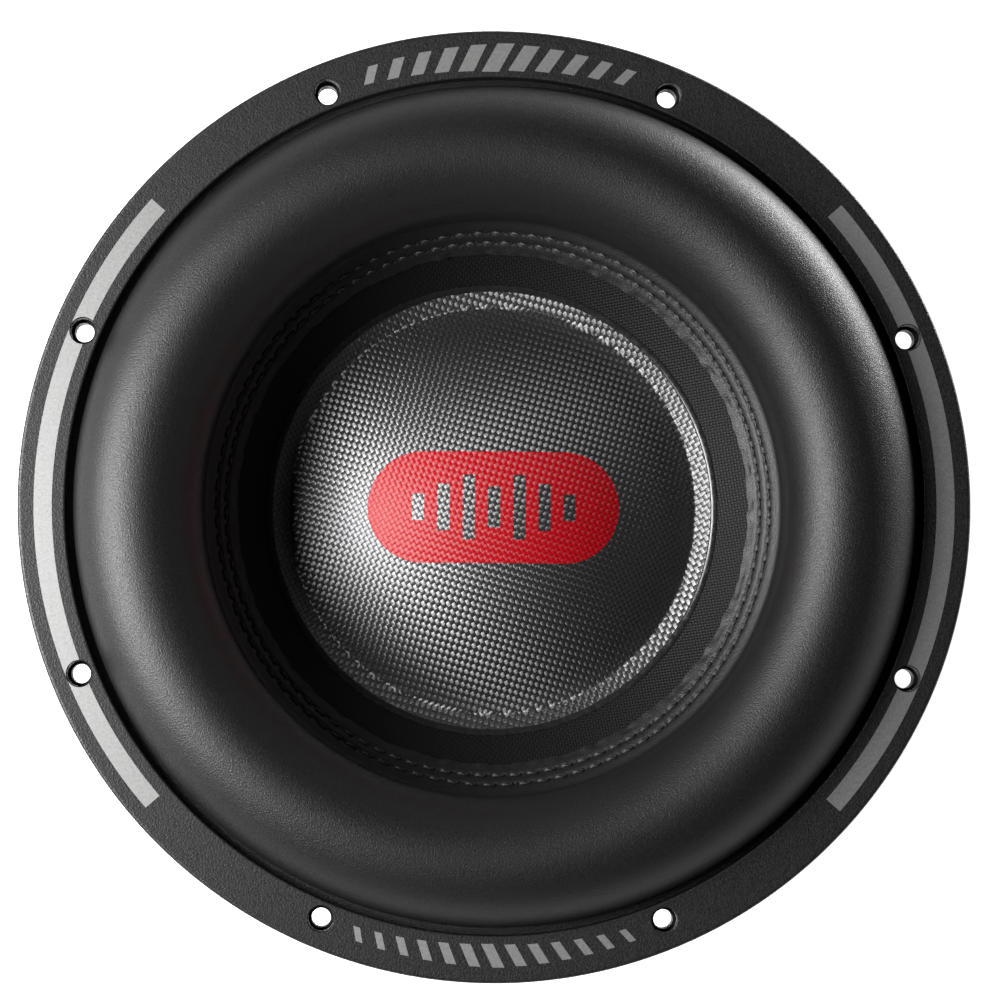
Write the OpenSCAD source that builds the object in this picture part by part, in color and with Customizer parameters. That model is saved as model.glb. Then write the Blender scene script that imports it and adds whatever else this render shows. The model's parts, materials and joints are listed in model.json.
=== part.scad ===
// Twelve-inch car subwoofer driver: cast basket, trim ring, high-roll surround, stitched cone,
// woven dome cap, dual voice coil, two spiders, double ferrite motor and push terminals.
// Millimetres. +Z points out of the front, along the cone's axis. The origin is the centre of
// the bolt circle on the rear face of the mounting gasket, where the driver meets its baffle.

/* [Front ring] */
// Outer diameter of the trim ring
ring_d = 320; // [318:1:324]
// Inner diameter of the trim ring
ring_inner_d = 288; // [286:1:289]
// Thickness of the trim ring above the basket flange
ring_t = 8; // [6:0.5:9]
// Diameter of the bolt circle
bolt_circle_d = 300; // [298:1:302]
// Number of mounting holes
bolt_count = 8; // [4:1:12]
// Diameter of the mounting holes in the basket flange and gasket
bolt_hole_d = 6.5; // [5:0.5:7]
// Diameter of the wider holes in the trim ring
ring_hole_d = 8.5; // [8:0.5:10]

/* [Basket] */
// Thickness of the mounting gasket
gasket_t = 2; // [1.5:0.5:3]
// Thickness of the basket flange
flange_t = 6; // [5:0.5:8]
// Diameter of the spigot that enters the baffle cut-out
spigot_d = 282; // [280:1:283]
// Number of double ribs
rib_pairs = 6; // [6:6]
// Angle of each rib either side of the middle of its pair
rib_angle = 7; // [6:0.5:8]
// Thickness of a rib
rib_t = 7; // [5:0.5:8]

/* [Surround and cone] */
// Radius to the crown of the roll
roll_r = 119; // [118:0.5:120]
// Width of the roll, foot to foot
roll_w = 41; // [39:0.5:42]
// Height of the crown above the baffle
roll_crown_z = 34; // [30:0.5:38]
// Thickness of the surround
surround_t = 2; // [1.5:0.25:2.5]
// Inner radius of the surround's sewn lip
sewn_lip_r = 88; // [86:0.5:89]
// Number of stitches in each of the two rows
stitch_count = 96; // [60:1:110]
// Steepness of the cone: fall over run
cone_slope = 0.74; // [0.7:0.01:0.78]
// Outer radius of the dust cap's flange
cap_r = 75.5; // [74:0.5:77]
// Rise of the dust cap's dome
cap_rise = 28; // [20:0.5:30]

/* [Motor] */
// Outer diameter of the two ferrite magnets
magnet_d = 200; // [190:1:204]
// Thickness of one magnet
magnet_t = 25; // [20:1:25]
// Inside diameter of the voice-coil former
former_d = 74.6; // [74:0.2:75]
// Height of the voice-coil winding
coil_h = 44; // [36:1:46]
// Travel of the cone each way
cone_travel = 22; // [15:1:22]

/* [Terminals] */
// Distance between the two wire entries of one block
entry_pitch = 18; // [17:0.5:19]
// Radius of a wire entry
entry_r = 2.6; // [2:0.1:3]
// Travel of a push button
button_travel = 3; // [2:0.5:3]

/* [Hidden] */
$fn = 96;

// Small number that carries a cutter past the face it opens
over = 1;

// Front ring and flange
flange_z = gasket_t;
ledge_z = gasket_t + flange_t;
ring_z = ledge_z + ring_t;
flange_r = 158;
flange_inner_r = 136.5;
gasket_inner_r = 143;
gasket_outer_r = 157;
ring_edge = 2.2;
ring_lip = 1.5;
hole_chamfer = 0.35;
lip_outer_r = 145;
lip_clearance = 0.3;
spigot_r = spigot_d / 2;
spigot_bottom_z = -12;

// Spider seat of the basket and the plate that bolts to the motor
wall_r = 88.3;
wall_outer_r = 92;
wall_top_z = -62;
shelf_r = 80;
shelf_z = -80;
shelf_bottom_z = -92;
base_z = -106;
base_bottom_z = -114;
base_bore_r = 46;
base_r = 96;
rib_foot_r = 98;
pad_half_w = 26;
pad_r = 97;
pad_bottom_z = -94;
pad_top_z = -64;

// Cone, facing and dust cap
cone_edge_r = 98.5;
cone_edge_z = -9;
cone_rim_r = 97.5;
cone_t = 2;
facing_t = 0.6;
cone_tilt = atan(cone_slope);
cap_dome_r = 70.2;
cap_t = 0.8;
bead_w = 2;

// Voice coil and suspension
former_r = former_d / 2;
former_t = 0.6;
former_top_z = -50;
coil_outer_r = 40.2;
collar_r = 38.7;
collar_top_z = -58;
collar_bottom_z = -92;
neck_r = former_r + former_t;
spider_t = 0.8;
spider_rolls = 5;
spider_wave = 2.5;
landing_r = 88;
spacer_h = 14.4;

// Motor
plate_t = 14;
plate_r = 95;
plate_bore_r = 41;
magnet_r = magnet_d / 2;
magnet_bore_r = 56;
magnet_top_z = base_bottom_z - plate_t;
yoke_z = magnet_top_z - 2 * magnet_t;
coil_mid_z = base_bottom_z - plate_t / 2;
former_bottom_z = yoke_z + cone_travel + 10;
yoke_bottom_z = yoke_z - plate_t;
pole_r = 36.7;
pole_top_z = base_bottom_z + 2;
vent_r = 15;
screen_r = 18;
screen_t = 1;
edge_chamfer = 1.2;
boot_t = 3.4;
boot_grip = 6;
boot_groove_pitch = 8;
boot_groove_depth = 0.9;
motor_bolt_circle_r = 70;
motor_bolt_r = 3;
motor_bolt_count = 6;

// Terminals: one block is drawn at +Y and its twin is the same block turned half way round
block_half_w = 16.5;
block_r = 97;
block_depth = 16;
block_bottom_z = -92;
block_top_z = -66;
entry_z = -86;
button_y = 106;
button_w = 9;
button_foot_w = 11.2;
button_gap = 0.3;
button_top_z = block_top_z + button_travel + 4;
pocket_w = 12;
pocket_top_z = -68;
pocket_bottom_z = -79;
contact_y = 98.5;
contact_t = 1;
contact_w = 4.8;
contact_top_z = -58;
ear_w = 8.5;
ear_t = 3.5;
ear_h = 16;
ear_z = -79;
ear_hole_x = 21;
screw_r = 1.5;
spring_r = 3.4;
spring_wire_r = 0.35;
spring_turns = 4;
lead_r = 1.2;

// Half section of a tinsel lead's route at its own x: [distance from the axis along Y, z]
lead_route = [
    [97.2, -61], [94.5, -59.8], [91, -57.8], [87, -55.6], [82, -53.4], [76, -51.8], [70, -51.2],
    [64, -51.6], [58, -53], [53, -55], [49, -56.9], [45.5, -58.2], [42.5, -58.7], [39.6, -58.7]
];

// Points along an arc about c from angle a0 to a1
function arc(c, r, a0, a1, n) =
    [for (i = [0:n]) let (a = a0 + (a1 - a0) * i / n) c + r * [cos(a), sin(a)]];

function unit(v) = v / norm(v);

// Left-hand normal of an open path at its point i
function path_normal(p, i) =
    let (d = unit(p[min(i + 1, len(p) - 1)] - p[max(i - 1, 0)])) [-d[1], d[0]];

// Outline of a band of thickness t that follows an open path
function band(p, t) = concat(
    [for (i = [0:len(p) - 1]) p[i] + path_normal(p, i) * t / 2],
    [for (i = [len(p) - 1:-1:0]) p[i] - path_normal(p, i) * t / 2]
);

// Height of the cone's front face at radius r
function cone_z(r) = cone_edge_z - (cone_edge_r - r) * cone_slope;

// Height of a line that runs parallel to the cone's face, d above it
function above_cone(r, d) = cone_z(r) + d / cos(cone_tilt);

// Closed tube along 3D points, with a flat cap at each end
module tube_along(points, r, sides) {
    n = len(points);
    function ahead(i) = unit(points[min(i + 1, n - 1)] - points[max(i - 1, 0)]);
    function side_of(d) = unit(cross(d, abs(d[0]) < 0.9 ? [1, 0, 0] : [0, 0, 1]));
    rings = [
        for (i = [0:n - 1])
            let (d = ahead(i), u = side_of(d), v = cross(d, u))
            for (k = [0:sides - 1])
                let (a = 360 * k / sides)
                points[i] + r * (cos(a) * u + sin(a) * v)
    ];
    walls = [
        for (i = [0:n - 2], k = [0:sides - 1])
            let (a = i * sides, b = (k + 1) % sides)
            [a + k, a + sides + k, a + sides + b, a + b]
    ];
    first_cap = [for (k = [0:sides - 1]) k];
    last_cap = [for (k = [sides - 1:-1:0]) (n - 1) * sides + k];
    polyhedron(rings, concat([first_cap], walls, [last_cap]));
}

// Flat ring with a chamfer on each outer edge
module plate(r, t, bore) {
    c = edge_chamfer;
    rotate_extrude()
        polygon([
            [bore, 0], [r - c, 0], [r, c],
            [r, t - c], [r - c, t], [bore, t]
        ]);
}

// Puts a copy of its child at each mounting hole
module at_mounting_holes() {
    for (i = [0:bolt_count - 1])
        rotate(360 / bolt_count * (i + 0.5))
            translate([bolt_circle_d / 2, 0, 0])
                children();
}

// Puts its child at one wire entry: side is +1 or -1
module at_entry(side) {
    translate([side * entry_pitch / 2, 0, 0])
        children();
}

module trim_ring() {
    outer_r = ring_d / 2;
    inner_r = ring_inner_d / 2;
    color("dimgray")
        difference() {
            rotate_extrude()
                polygon(concat(
                    [[inner_r, ledge_z + surround_t + 0.1]],
                    [[lip_outer_r + lip_clearance, ledge_z + surround_t + 0.1]],
                    [[lip_outer_r + lip_clearance, ledge_z]],
                    [[flange_r + 0.2, ledge_z], [flange_r + 0.2, flange_z], [outer_r, flange_z]],
                    arc([outer_r - ring_edge, ring_z - ring_edge], ring_edge, 0, 90, 6),
                    arc([inner_r + ring_lip, ring_z - ring_lip], ring_lip, 90, 180, 6)
                ));
            at_mounting_holes() {
                translate([0, 0, ledge_z - over])
                    cylinder(d = ring_hole_d, h = ring_t + 2 * over, $fn = 32);
                translate([0, 0, ring_z - hole_chamfer])
                    cylinder(
                        r1 = ring_hole_d / 2,
                        r2 = ring_hole_d / 2 + 2 * hole_chamfer,
                        h = 2 * hole_chamfer,
                        $fn = 32
                    );
            }
        }
}

// One rib, from the spigot down the slope to the foot beside the motor
module rib() {
    rotate([90, 0, 0])
        linear_extrude(height = rib_t, center = true)
            polygon([
                [137, -3], [140.5, -8], [140.5, -17], [101, -62], [rib_foot_r, -67],
                [rib_foot_r, base_bottom_z], [89, base_bottom_z], [89, -66], [93, -59],
                [131, -14], [137, -10]
            ]);
}

// Thin web that closes the inner side of a pair of ribs
module rib_web() {
    rotate(-rib_angle)
        rotate_extrude(angle = 2 * rib_angle)
            polygon([[93, -59], [131, -14], [134, -16.5], [97, -60.3]]);
}

// Flat pad for a terminal block, blended into the spider wall
module terminal_pad() {
    difference() {
        translate([-pad_half_w, shelf_r, pad_bottom_z])
            cube([2 * pad_half_w, pad_r - shelf_r, pad_top_z - pad_bottom_z]);
        translate([0, 0, pad_bottom_z - over])
            cylinder(r = wall_r, h = pad_top_z - pad_bottom_z + 2 * over);
        for (side = [-1, 1])
            translate([side * ear_hole_x, pad_r + over, ear_z])
                rotate([90, 0, 0])
                    cylinder(r = screw_r + 0.05, h = 9, $fn = 24);
    }
}

module basket() {
    color("black")
        difference() {
            union() {
                rotate_extrude()
                    polygon([
                        [flange_inner_r, spigot_bottom_z], [spigot_r, spigot_bottom_z],
                        [spigot_r, flange_z], [flange_r, flange_z], [flange_r, ledge_z],
                        [flange_inner_r, ledge_z]
                    ]);
                rotate_extrude()
                    polygon([
                        [shelf_r, shelf_bottom_z], [wall_outer_r, shelf_bottom_z],
                        [wall_outer_r, wall_top_z], [wall_r, wall_top_z], [wall_r, shelf_z],
                        [shelf_r, shelf_z]
                    ]);
                rotate_extrude()
                    polygon([
                        [base_bore_r, base_bottom_z], [base_r, base_bottom_z],
                        [base_r, base_z], [base_bore_r, base_z]
                    ]);
                for (i = [0:rib_pairs - 1])
                    rotate(360 / rib_pairs * i) {
                        for (side = [-1, 1])
                            rotate(side * rib_angle)
                                rib();
                        rib_web();
                    }
                for (turn = [0, 180])
                    rotate(turn)
                        terminal_pad();
            }
            at_mounting_holes()
                translate([0, 0, flange_z - over])
                    cylinder(d = bolt_hole_d, h = flange_t + 2 * over, $fn = 32);
            for (i = [0:motor_bolt_count - 1])
                rotate(360 / motor_bolt_count * i)
                    translate([motor_bolt_circle_r, 0, base_bottom_z - over])
                        cylinder(
                            r = motor_bolt_r + 0.3,
                            h = base_z - base_bottom_z + 2 * over,
                            $fn = 32
                        );
        }
}

module mounting_gasket() {
    color("black")
        difference() {
            rotate_extrude()
                translate([gasket_inner_r, 0])
                    square([gasket_outer_r - gasket_inner_r, gasket_t]);
            at_mounting_holes()
                translate([0, 0, -over])
                    cylinder(d = bolt_hole_d, h = gasket_t + 2 * over, $fn = 32);
        }
}

// Middle line of the surround from its sewn lip, over the roll, to its outer lip
function surround_path() =
    let (
        half = roll_w / 2 - surround_t / 2,
        crown_centre = [roll_r, roll_crown_z - surround_t / 2 - half],
        leg_r = roll_r - half,
        foot_fillet = 4,
        foot_r = leg_r - foot_fillet + foot_fillet * sin(cone_tilt),
        foot_z = above_cone(foot_r, surround_t / 2) + foot_fillet * cos(cone_tilt),
        lip_fillet = 1.6,
        lip_z = ledge_z + surround_t / 2,
        outer_leg_r = roll_r + half
    )
    concat(
        [[sewn_lip_r, above_cone(sewn_lip_r, surround_t / 2)]],
        arc([leg_r - foot_fillet, foot_z], foot_fillet, cone_tilt - 90, 0, 5),
        arc(crown_centre, half, 180, 0, 30),
        arc([outer_leg_r + lip_fillet, lip_z + lip_fillet], lip_fillet, 180, 270, 4),
        [[lip_outer_r, lip_z]]
    );

module surround() {
    color("black")
        rotate_extrude()
            polygon(band(surround_path(), surround_t));
}

// Two rows of stitches that hold the surround's lip to the cone
module surround_stitching() {
    thread_r = 0.45;
    stitch_gap = 0.1;
    fill = 0.72;
    row_r = [91.3, 94.4];
    color("dimgray")
        for (r = row_r, i = [0:stitch_count - 1])
            rotate(360 / stitch_count * (i + (r == row_r[0] ? 0 : 0.5)))
                rotate_extrude(angle = 360 / stitch_count * fill)
                    translate([r, above_cone(r, surround_t + thread_r + stitch_gap)])
                        circle(r = thread_r, $fn = 16);
}

module cone() {
    top = facing_t / cos(cone_tilt);
    bottom = (facing_t + cone_t) / cos(cone_tilt);
    inner_r = neck_r + 0.1;
    color("black")
        rotate_extrude()
            polygon([
                [inner_r, cone_z(inner_r) - bottom], [cone_rim_r, cone_z(cone_rim_r) - bottom],
                [cone_rim_r, cone_z(cone_rim_r) - top], [inner_r, cone_z(inner_r) - top]
            ]);
}

module cone_facing() {
    top = facing_t / cos(cone_tilt);
    inner_r = neck_r + 4;
    color("dimgray")
        rotate_extrude()
            polygon([
                [inner_r, cone_z(inner_r) - top], [cone_rim_r, cone_z(cone_rim_r) - top],
                [cone_rim_r, cone_z(cone_rim_r)], [inner_r, cone_z(inner_r)]
            ]);
}

// Middle line of the dust cap: a flange that lies on the cone, then a spherical dome
function cap_path() =
    let (
        rim_z = above_cone(cap_dome_r, cap_t / 2),
        sphere_r = (cap_dome_r * cap_dome_r + cap_rise * cap_rise) / (2 * cap_rise),
        edge_angle = asin(cap_dome_r / sphere_r)
    )
    concat(
        [[cap_r, above_cone(cap_r, cap_t / 2)]],
        arc([0, rim_z + cap_rise - sphere_r], sphere_r, 90 - edge_angle, 90, 24)
    );

module dust_cap() {
    path = cap_path();
    last = len(path) - 1;
    upper = [for (i = [0:last - 1]) path[i] - path_normal(path, i) * cap_t / 2];
    lower = [for (i = [last - 1:-1:0]) path[i] + path_normal(path, i) * cap_t / 2];
    apex_z = path[last][1];
    color("silver")
        rotate_extrude()
            polygon(concat(upper, [[0, apex_z + cap_t / 2], [0, apex_z - cap_t / 2]], lower));
}

// Its inner wall just clears the lower corner of the cap's sloping edge
module cap_glue_bead() {
    inner_r = cap_r + cap_t / 2 * sin(cone_tilt) + 0.05;
    outer_r = cap_r + bead_w;
    middle_r = (inner_r + outer_r) / 2;
    color("black")
        rotate_extrude()
            polygon([
                [inner_r, above_cone(inner_r, 0)], [outer_r, above_cone(outer_r, 0)],
                [middle_r, above_cone(middle_r, 0.5)], [inner_r, above_cone(inner_r, 0.8)]
            ]);
}

module coil_former() {
    color("saddlebrown")
        rotate_extrude()
            translate([former_r, former_bottom_z])
                square([former_t, former_top_z - former_bottom_z]);
}

module former_collar() {
    color("tan")
        rotate_extrude()
            translate([neck_r, collar_bottom_z])
                square([collar_r - neck_r, collar_top_z - collar_bottom_z]);
}

module voice_coil() {
    color("peru")
        rotate_extrude()
            translate([neck_r, coil_mid_z - coil_h / 2])
                square([coil_outer_r - neck_r, coil_h]);
}

module neck_glue_fillet() {
    foot_r = neck_r + 3.6;
    color("black")
        rotate_extrude()
            polygon([
                [neck_r, cone_z(neck_r) - 0.4], [neck_r, former_top_z - 0.6],
                [foot_r, cone_z(foot_r) + 0.2], [foot_r, cone_z(foot_r) - facing_t / cos(cone_tilt)],
                [neck_r + 0.1, cone_z(neck_r + 0.1) - facing_t / cos(cone_tilt)]
            ]);
}

// Corrugated suspension disc, flat at both edges; z is the underside of its landing
module spider(z) {
    mid = z + spider_t / 2;
    flat = 0.8;
    first_r = collar_r + flat;
    last_r = shelf_r - flat;
    steps = 12 * spider_rolls;
    wave = [
        for (i = [0:steps])
            [
                first_r + (last_r - first_r) * i / steps,
                mid + spider_wave * sin(360 * spider_rolls * i / steps)
            ]
    ];
    rotate_extrude()
        polygon(band(concat([[collar_r, mid]], wave, [[landing_r, mid]]), spider_t));
}

module lower_spider() {
    color("goldenrod")
        spider(shelf_z);
}

module upper_spider() {
    color("goldenrod")
        spider(shelf_z + spider_t + spacer_h);
}

module spider_spacer() {
    color("black")
        rotate_extrude()
            translate([shelf_r, shelf_z + spider_t])
                square([landing_r - shelf_r, spacer_h]);
}

module top_plate() {
    blind = 12;
    color("silver")
        difference() {
            translate([0, 0, magnet_top_z])
                plate(plate_r, plate_t, plate_bore_r);
            for (i = [0:motor_bolt_count - 1])
                rotate(360 / motor_bolt_count * i)
                    translate([motor_bolt_circle_r, 0, base_bottom_z - blind])
                        cylinder(r = motor_bolt_r + 0.05, h = blind + over, $fn = 32);
        }
}

module magnet() {
    plate(magnet_r, magnet_t, magnet_bore_r);
}

module front_magnet() {
    color("dimgray")
        translate([0, 0, magnet_top_z - magnet_t])
            magnet();
}

module rear_magnet() {
    color("dimgray")
        translate([0, 0, yoke_z])
            magnet();
}

module t_yoke() {
    pole_chamfer = 2;
    color("silver")
        difference() {
            union() {
                translate([0, 0, yoke_bottom_z])
                    plate(plate_r, plate_t, vent_r);
                rotate_extrude()
                    polygon([
                        [vent_r, yoke_z - over], [pole_r, yoke_z - over],
                        [pole_r, pole_top_z - pole_chamfer], [pole_r - pole_chamfer, pole_top_z],
                        [vent_r + pole_chamfer, pole_top_z], [vent_r, pole_top_z - pole_chamfer]
                    ]);
            }
            translate([0, 0, yoke_bottom_z - over])
                cylinder(r = screen_r + 0.2, h = over + 2);
        }
}

module shorting_ring() {
    color("silver")
        translate([0, 0, yoke_z])
            rotate_extrude()
                translate([43, 0])
                    square([12, 10]);
}

// Rubber sleeve that grips both plates and covers the magnets
module magnet_boot() {
    inner_r = magnet_r + 0.1;
    outer_r = inner_r + boot_t;
    grip_r = plate_r + 0.2;
    top_z = magnet_top_z + boot_grip;
    bottom_z = yoke_z - boot_grip;
    groove_count = floor((top_z - bottom_z - 8) / boot_groove_pitch);
    first_z = (top_z + bottom_z) / 2 - groove_count * boot_groove_pitch / 2;
    grooves = [
        for (i = [0:groove_count], step = [-1.4, -0.5, 0.5, 1.4])
            [
                outer_r - (abs(step) < 1 ? boot_groove_depth : 0),
                first_z + i * boot_groove_pitch + step
            ]
    ];
    color("black")
        rotate_extrude()
            polygon(concat(
                [[grip_r, bottom_z], [outer_r - 1.5, bottom_z], [outer_r, bottom_z + 1.5]],
                grooves,
                [[outer_r, top_z - 1.5], [outer_r - 1.5, top_z], [grip_r, top_z]],
                [[grip_r, magnet_top_z + 0.1], [inner_r, magnet_top_z + 0.1]],
                [[inner_r, yoke_z - 0.1], [grip_r, yoke_z - 0.1]]
            ));
}

module vent_screen() {
    hole_pitch = 6.6;
    hole_r = 2.3;
    rings = 2;
    color("dimgray")
        translate([0, 0, yoke_bottom_z + 0.5])
            difference() {
                cylinder(r = screen_r, h = screen_t);
                for (i = [-rings:rings], j = [-rings:rings])
                    if (abs(i + j) <= rings)
                        translate([hole_pitch * (i + j / 2), hole_pitch * j * sin(60), -over])
                            cylinder(r = hole_r, h = screen_t + 2 * over, $fn = 24);
            }
}

module motor_bolts() {
    head_r = 5;
    head_h = 6;
    color("black")
        for (i = [0:motor_bolt_count - 1])
            rotate(360 / motor_bolt_count * i)
                translate([motor_bolt_circle_r, 0, base_z])
                    difference() {
                        union() {
                            cylinder(r = head_r, h = head_h, $fn = 32);
                            translate([0, 0, -18])
                                cylinder(r = motor_bolt_r, h = 18 + over, $fn = 32);
                        }
                        translate([0, 0, head_h - 3])
                            cylinder(r = 2.9, h = 3 + over, $fn = 6);
                    }
}

// Moulded block with two button pockets, two wire entries, two contact slots and two ears
module terminal_block() {
    difference() {
        union() {
            translate([-block_half_w, block_r, block_bottom_z])
                cube([2 * block_half_w, block_depth, block_top_z - block_bottom_z]);
            translate([-block_half_w - ear_w, block_r, ear_z - ear_h / 2])
                cube([2 * (block_half_w + ear_w), ear_t, ear_h]);
        }
        for (side = [-1, 1]) {
            at_entry(side) {
                opening = button_w + 2 * button_gap;
                translate([-pocket_w / 2, button_y - pocket_w / 2, pocket_bottom_z])
                    cube([pocket_w, pocket_w, pocket_top_z - pocket_bottom_z]);
                translate([-opening / 2, button_y - opening / 2, pocket_top_z - over])
                    cube([opening, opening, block_top_z - pocket_top_z + 2 * over]);
                translate([0, block_r + block_depth + over, entry_z])
                    rotate([90, 0, 0])
                        cylinder(r = entry_r, h = block_r + block_depth + over - contact_y - contact_t);
                translate([-contact_w / 2 - 0.1, contact_y, block_bottom_z + 2])
                    cube([contact_w + 0.2, contact_t, block_top_z - block_bottom_z]);
            }
            translate([side * ear_hole_x, block_r + ear_t + over, ear_z])
                rotate([90, 0, 0])
                    cylinder(r = screw_r + 0.1, h = ear_t + 2 * over, $fn = 24);
        }
    }
}

module contacts() {
    for (side = [-1, 1])
        at_entry(side)
            translate([-contact_w / 2, contact_y, block_bottom_z + 2])
                cube([contact_w, contact_t, contact_top_z - block_bottom_z - 2]);
}

module push_button(side) {
    foot_top_z = pocket_top_z - 0.2;
    foot_h = 2;
    at_entry(side) {
        translate([-button_foot_w / 2, button_y - button_foot_w / 2, foot_top_z - foot_h])
            cube([button_foot_w, button_foot_w, foot_h]);
        translate([-button_w / 2, button_y - button_w / 2, foot_top_z - foot_h / 2])
            cube([button_w, button_w, button_top_z - foot_top_z + foot_h / 2]);
    }
}

module button_spring(side) {
    steps = 12 * spring_turns;
    bottom_z = pocket_bottom_z + spring_wire_r + 0.05;
    top_z = pocket_top_z - 2.2 - spring_wire_r - 0.05;
    helix = [
        for (i = [0:steps])
            let (a = 360 * spring_turns * i / steps)
            [spring_r * cos(a), spring_r * sin(a), bottom_z + (top_z - bottom_z) * i / steps]
    ];
    at_entry(side)
        translate([0, button_y, 0])
            tube_along(helix, spring_wire_r, 6);
}

module tinsel_lead(side) {
    at_entry(side)
        tube_along([for (p = lead_route) [0, p[0], p[1]]], lead_r, 8);
}

module coil_a() {
    children();
}

module coil_b() {
    rotate(180)
        children();
}

module coil_a_terminal_block() {
    color("black")
        coil_a()
            terminal_block();
}

module coil_b_terminal_block() {
    color("black")
        coil_b()
            terminal_block();
}

module coil_a_contacts() {
    color("gold")
        coil_a()
            contacts();
}

module coil_b_contacts() {
    color("gold")
        coil_b()
            contacts();
}

module terminal_screws() {
    head_r = 2.8;
    head_h = 2;
    shank = 9;
    color("silver")
        for (turn = [0, 180], side = [-1, 1])
            rotate(turn)
                translate([side * ear_hole_x, block_r + ear_t, ear_z])
                    rotate([-90, 0, 0]) {
                        cylinder(r = head_r, h = head_h, $fn = 32);
                        translate([0, 0, -shank])
                            cylinder(r = screw_r, h = shank + over, $fn = 24);
                    }
}

module coil_a_plus_button() {
    color("red")
        coil_a()
            push_button(1);
}

module coil_a_minus_button() {
    color("black")
        coil_a()
            push_button(-1);
}

module coil_b_plus_button() {
    color("red")
        coil_b()
            push_button(1);
}

module coil_b_minus_button() {
    color("black")
        coil_b()
            push_button(-1);
}

module coil_a_plus_spring() {
    color("silver")
        coil_a()
            button_spring(1);
}

module coil_a_minus_spring() {
    color("silver")
        coil_a()
            button_spring(-1);
}

module coil_b_plus_spring() {
    color("silver")
        coil_b()
            button_spring(1);
}

module coil_b_minus_spring() {
    color("silver")
        coil_b()
            button_spring(-1);
}

module coil_a_plus_lead() {
    color("orange")
        coil_a()
            tinsel_lead(1);
}

module coil_a_minus_lead() {
    color("orange")
        coil_a()
            tinsel_lead(-1);
}

module coil_b_plus_lead() {
    color("orange")
        coil_b()
            tinsel_lead(1);
}

module coil_b_minus_lead() {
    color("orange")
        coil_b()
            tinsel_lead(-1);
}

trim_ring();
basket();
mounting_gasket();
surround();
surround_stitching();
cone();
cone_facing();
dust_cap();
cap_glue_bead();
coil_former();
former_collar();
voice_coil();
neck_glue_fillet();
upper_spider();
lower_spider();
spider_spacer();
top_plate();
front_magnet();
rear_magnet();
t_yoke();
shorting_ring();
magnet_boot();
vent_screen();
motor_bolts();
coil_a_terminal_block();
coil_b_terminal_block();
coil_a_contacts();
coil_b_contacts();
terminal_screws();
coil_a_plus_button();
coil_a_minus_button();
coil_b_plus_button();
coil_b_minus_button();
coil_a_plus_spring();
coil_a_minus_spring();
coil_b_plus_spring();
coil_b_minus_spring();
coil_a_plus_lead();
coil_a_minus_lead();
coil_b_plus_lead();
coil_b_minus_lead();
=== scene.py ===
import json
import math

import bmesh
import bpy
from mathutils import Matrix, Vector
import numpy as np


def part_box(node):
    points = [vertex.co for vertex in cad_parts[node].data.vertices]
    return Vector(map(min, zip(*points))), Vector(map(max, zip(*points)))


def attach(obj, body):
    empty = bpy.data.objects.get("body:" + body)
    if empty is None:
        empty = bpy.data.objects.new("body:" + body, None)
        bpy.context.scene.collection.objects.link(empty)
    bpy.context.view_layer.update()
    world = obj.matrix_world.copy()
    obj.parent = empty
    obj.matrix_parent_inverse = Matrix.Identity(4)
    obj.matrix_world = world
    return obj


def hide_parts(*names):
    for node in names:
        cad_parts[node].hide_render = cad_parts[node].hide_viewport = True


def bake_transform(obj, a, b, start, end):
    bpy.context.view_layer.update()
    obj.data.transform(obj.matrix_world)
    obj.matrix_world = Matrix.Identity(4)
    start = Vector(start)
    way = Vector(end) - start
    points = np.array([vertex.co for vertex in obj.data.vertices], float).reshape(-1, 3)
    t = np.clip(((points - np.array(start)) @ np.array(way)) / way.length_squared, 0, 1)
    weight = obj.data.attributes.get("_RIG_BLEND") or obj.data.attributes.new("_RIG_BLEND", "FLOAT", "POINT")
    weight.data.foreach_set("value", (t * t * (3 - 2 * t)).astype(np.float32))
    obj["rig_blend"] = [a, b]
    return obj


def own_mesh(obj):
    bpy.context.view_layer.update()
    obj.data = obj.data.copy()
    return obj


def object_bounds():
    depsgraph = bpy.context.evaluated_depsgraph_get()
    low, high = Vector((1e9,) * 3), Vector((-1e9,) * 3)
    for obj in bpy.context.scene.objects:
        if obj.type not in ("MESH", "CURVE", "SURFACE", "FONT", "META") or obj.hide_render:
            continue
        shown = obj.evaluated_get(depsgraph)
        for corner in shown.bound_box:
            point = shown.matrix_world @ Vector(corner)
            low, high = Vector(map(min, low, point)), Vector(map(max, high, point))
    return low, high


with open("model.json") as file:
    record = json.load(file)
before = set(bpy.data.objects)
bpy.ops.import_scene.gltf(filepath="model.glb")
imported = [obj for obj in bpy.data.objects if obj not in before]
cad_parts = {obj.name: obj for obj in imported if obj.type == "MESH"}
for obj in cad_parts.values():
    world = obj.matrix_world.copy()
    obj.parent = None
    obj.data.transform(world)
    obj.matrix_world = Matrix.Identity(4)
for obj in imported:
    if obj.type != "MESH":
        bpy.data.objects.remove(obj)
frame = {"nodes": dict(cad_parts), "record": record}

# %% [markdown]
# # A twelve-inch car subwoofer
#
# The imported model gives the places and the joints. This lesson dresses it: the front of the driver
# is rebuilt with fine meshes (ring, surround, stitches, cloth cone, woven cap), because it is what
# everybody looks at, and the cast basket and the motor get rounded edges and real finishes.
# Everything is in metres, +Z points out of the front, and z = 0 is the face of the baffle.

MM = 0.001
TURN = 2 * math.pi
CAD_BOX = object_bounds()

ring_low, ring_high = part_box("trim_ring")
facing_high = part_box("cone_facing")[1]
cap_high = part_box("dust_cap")[1]

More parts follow.
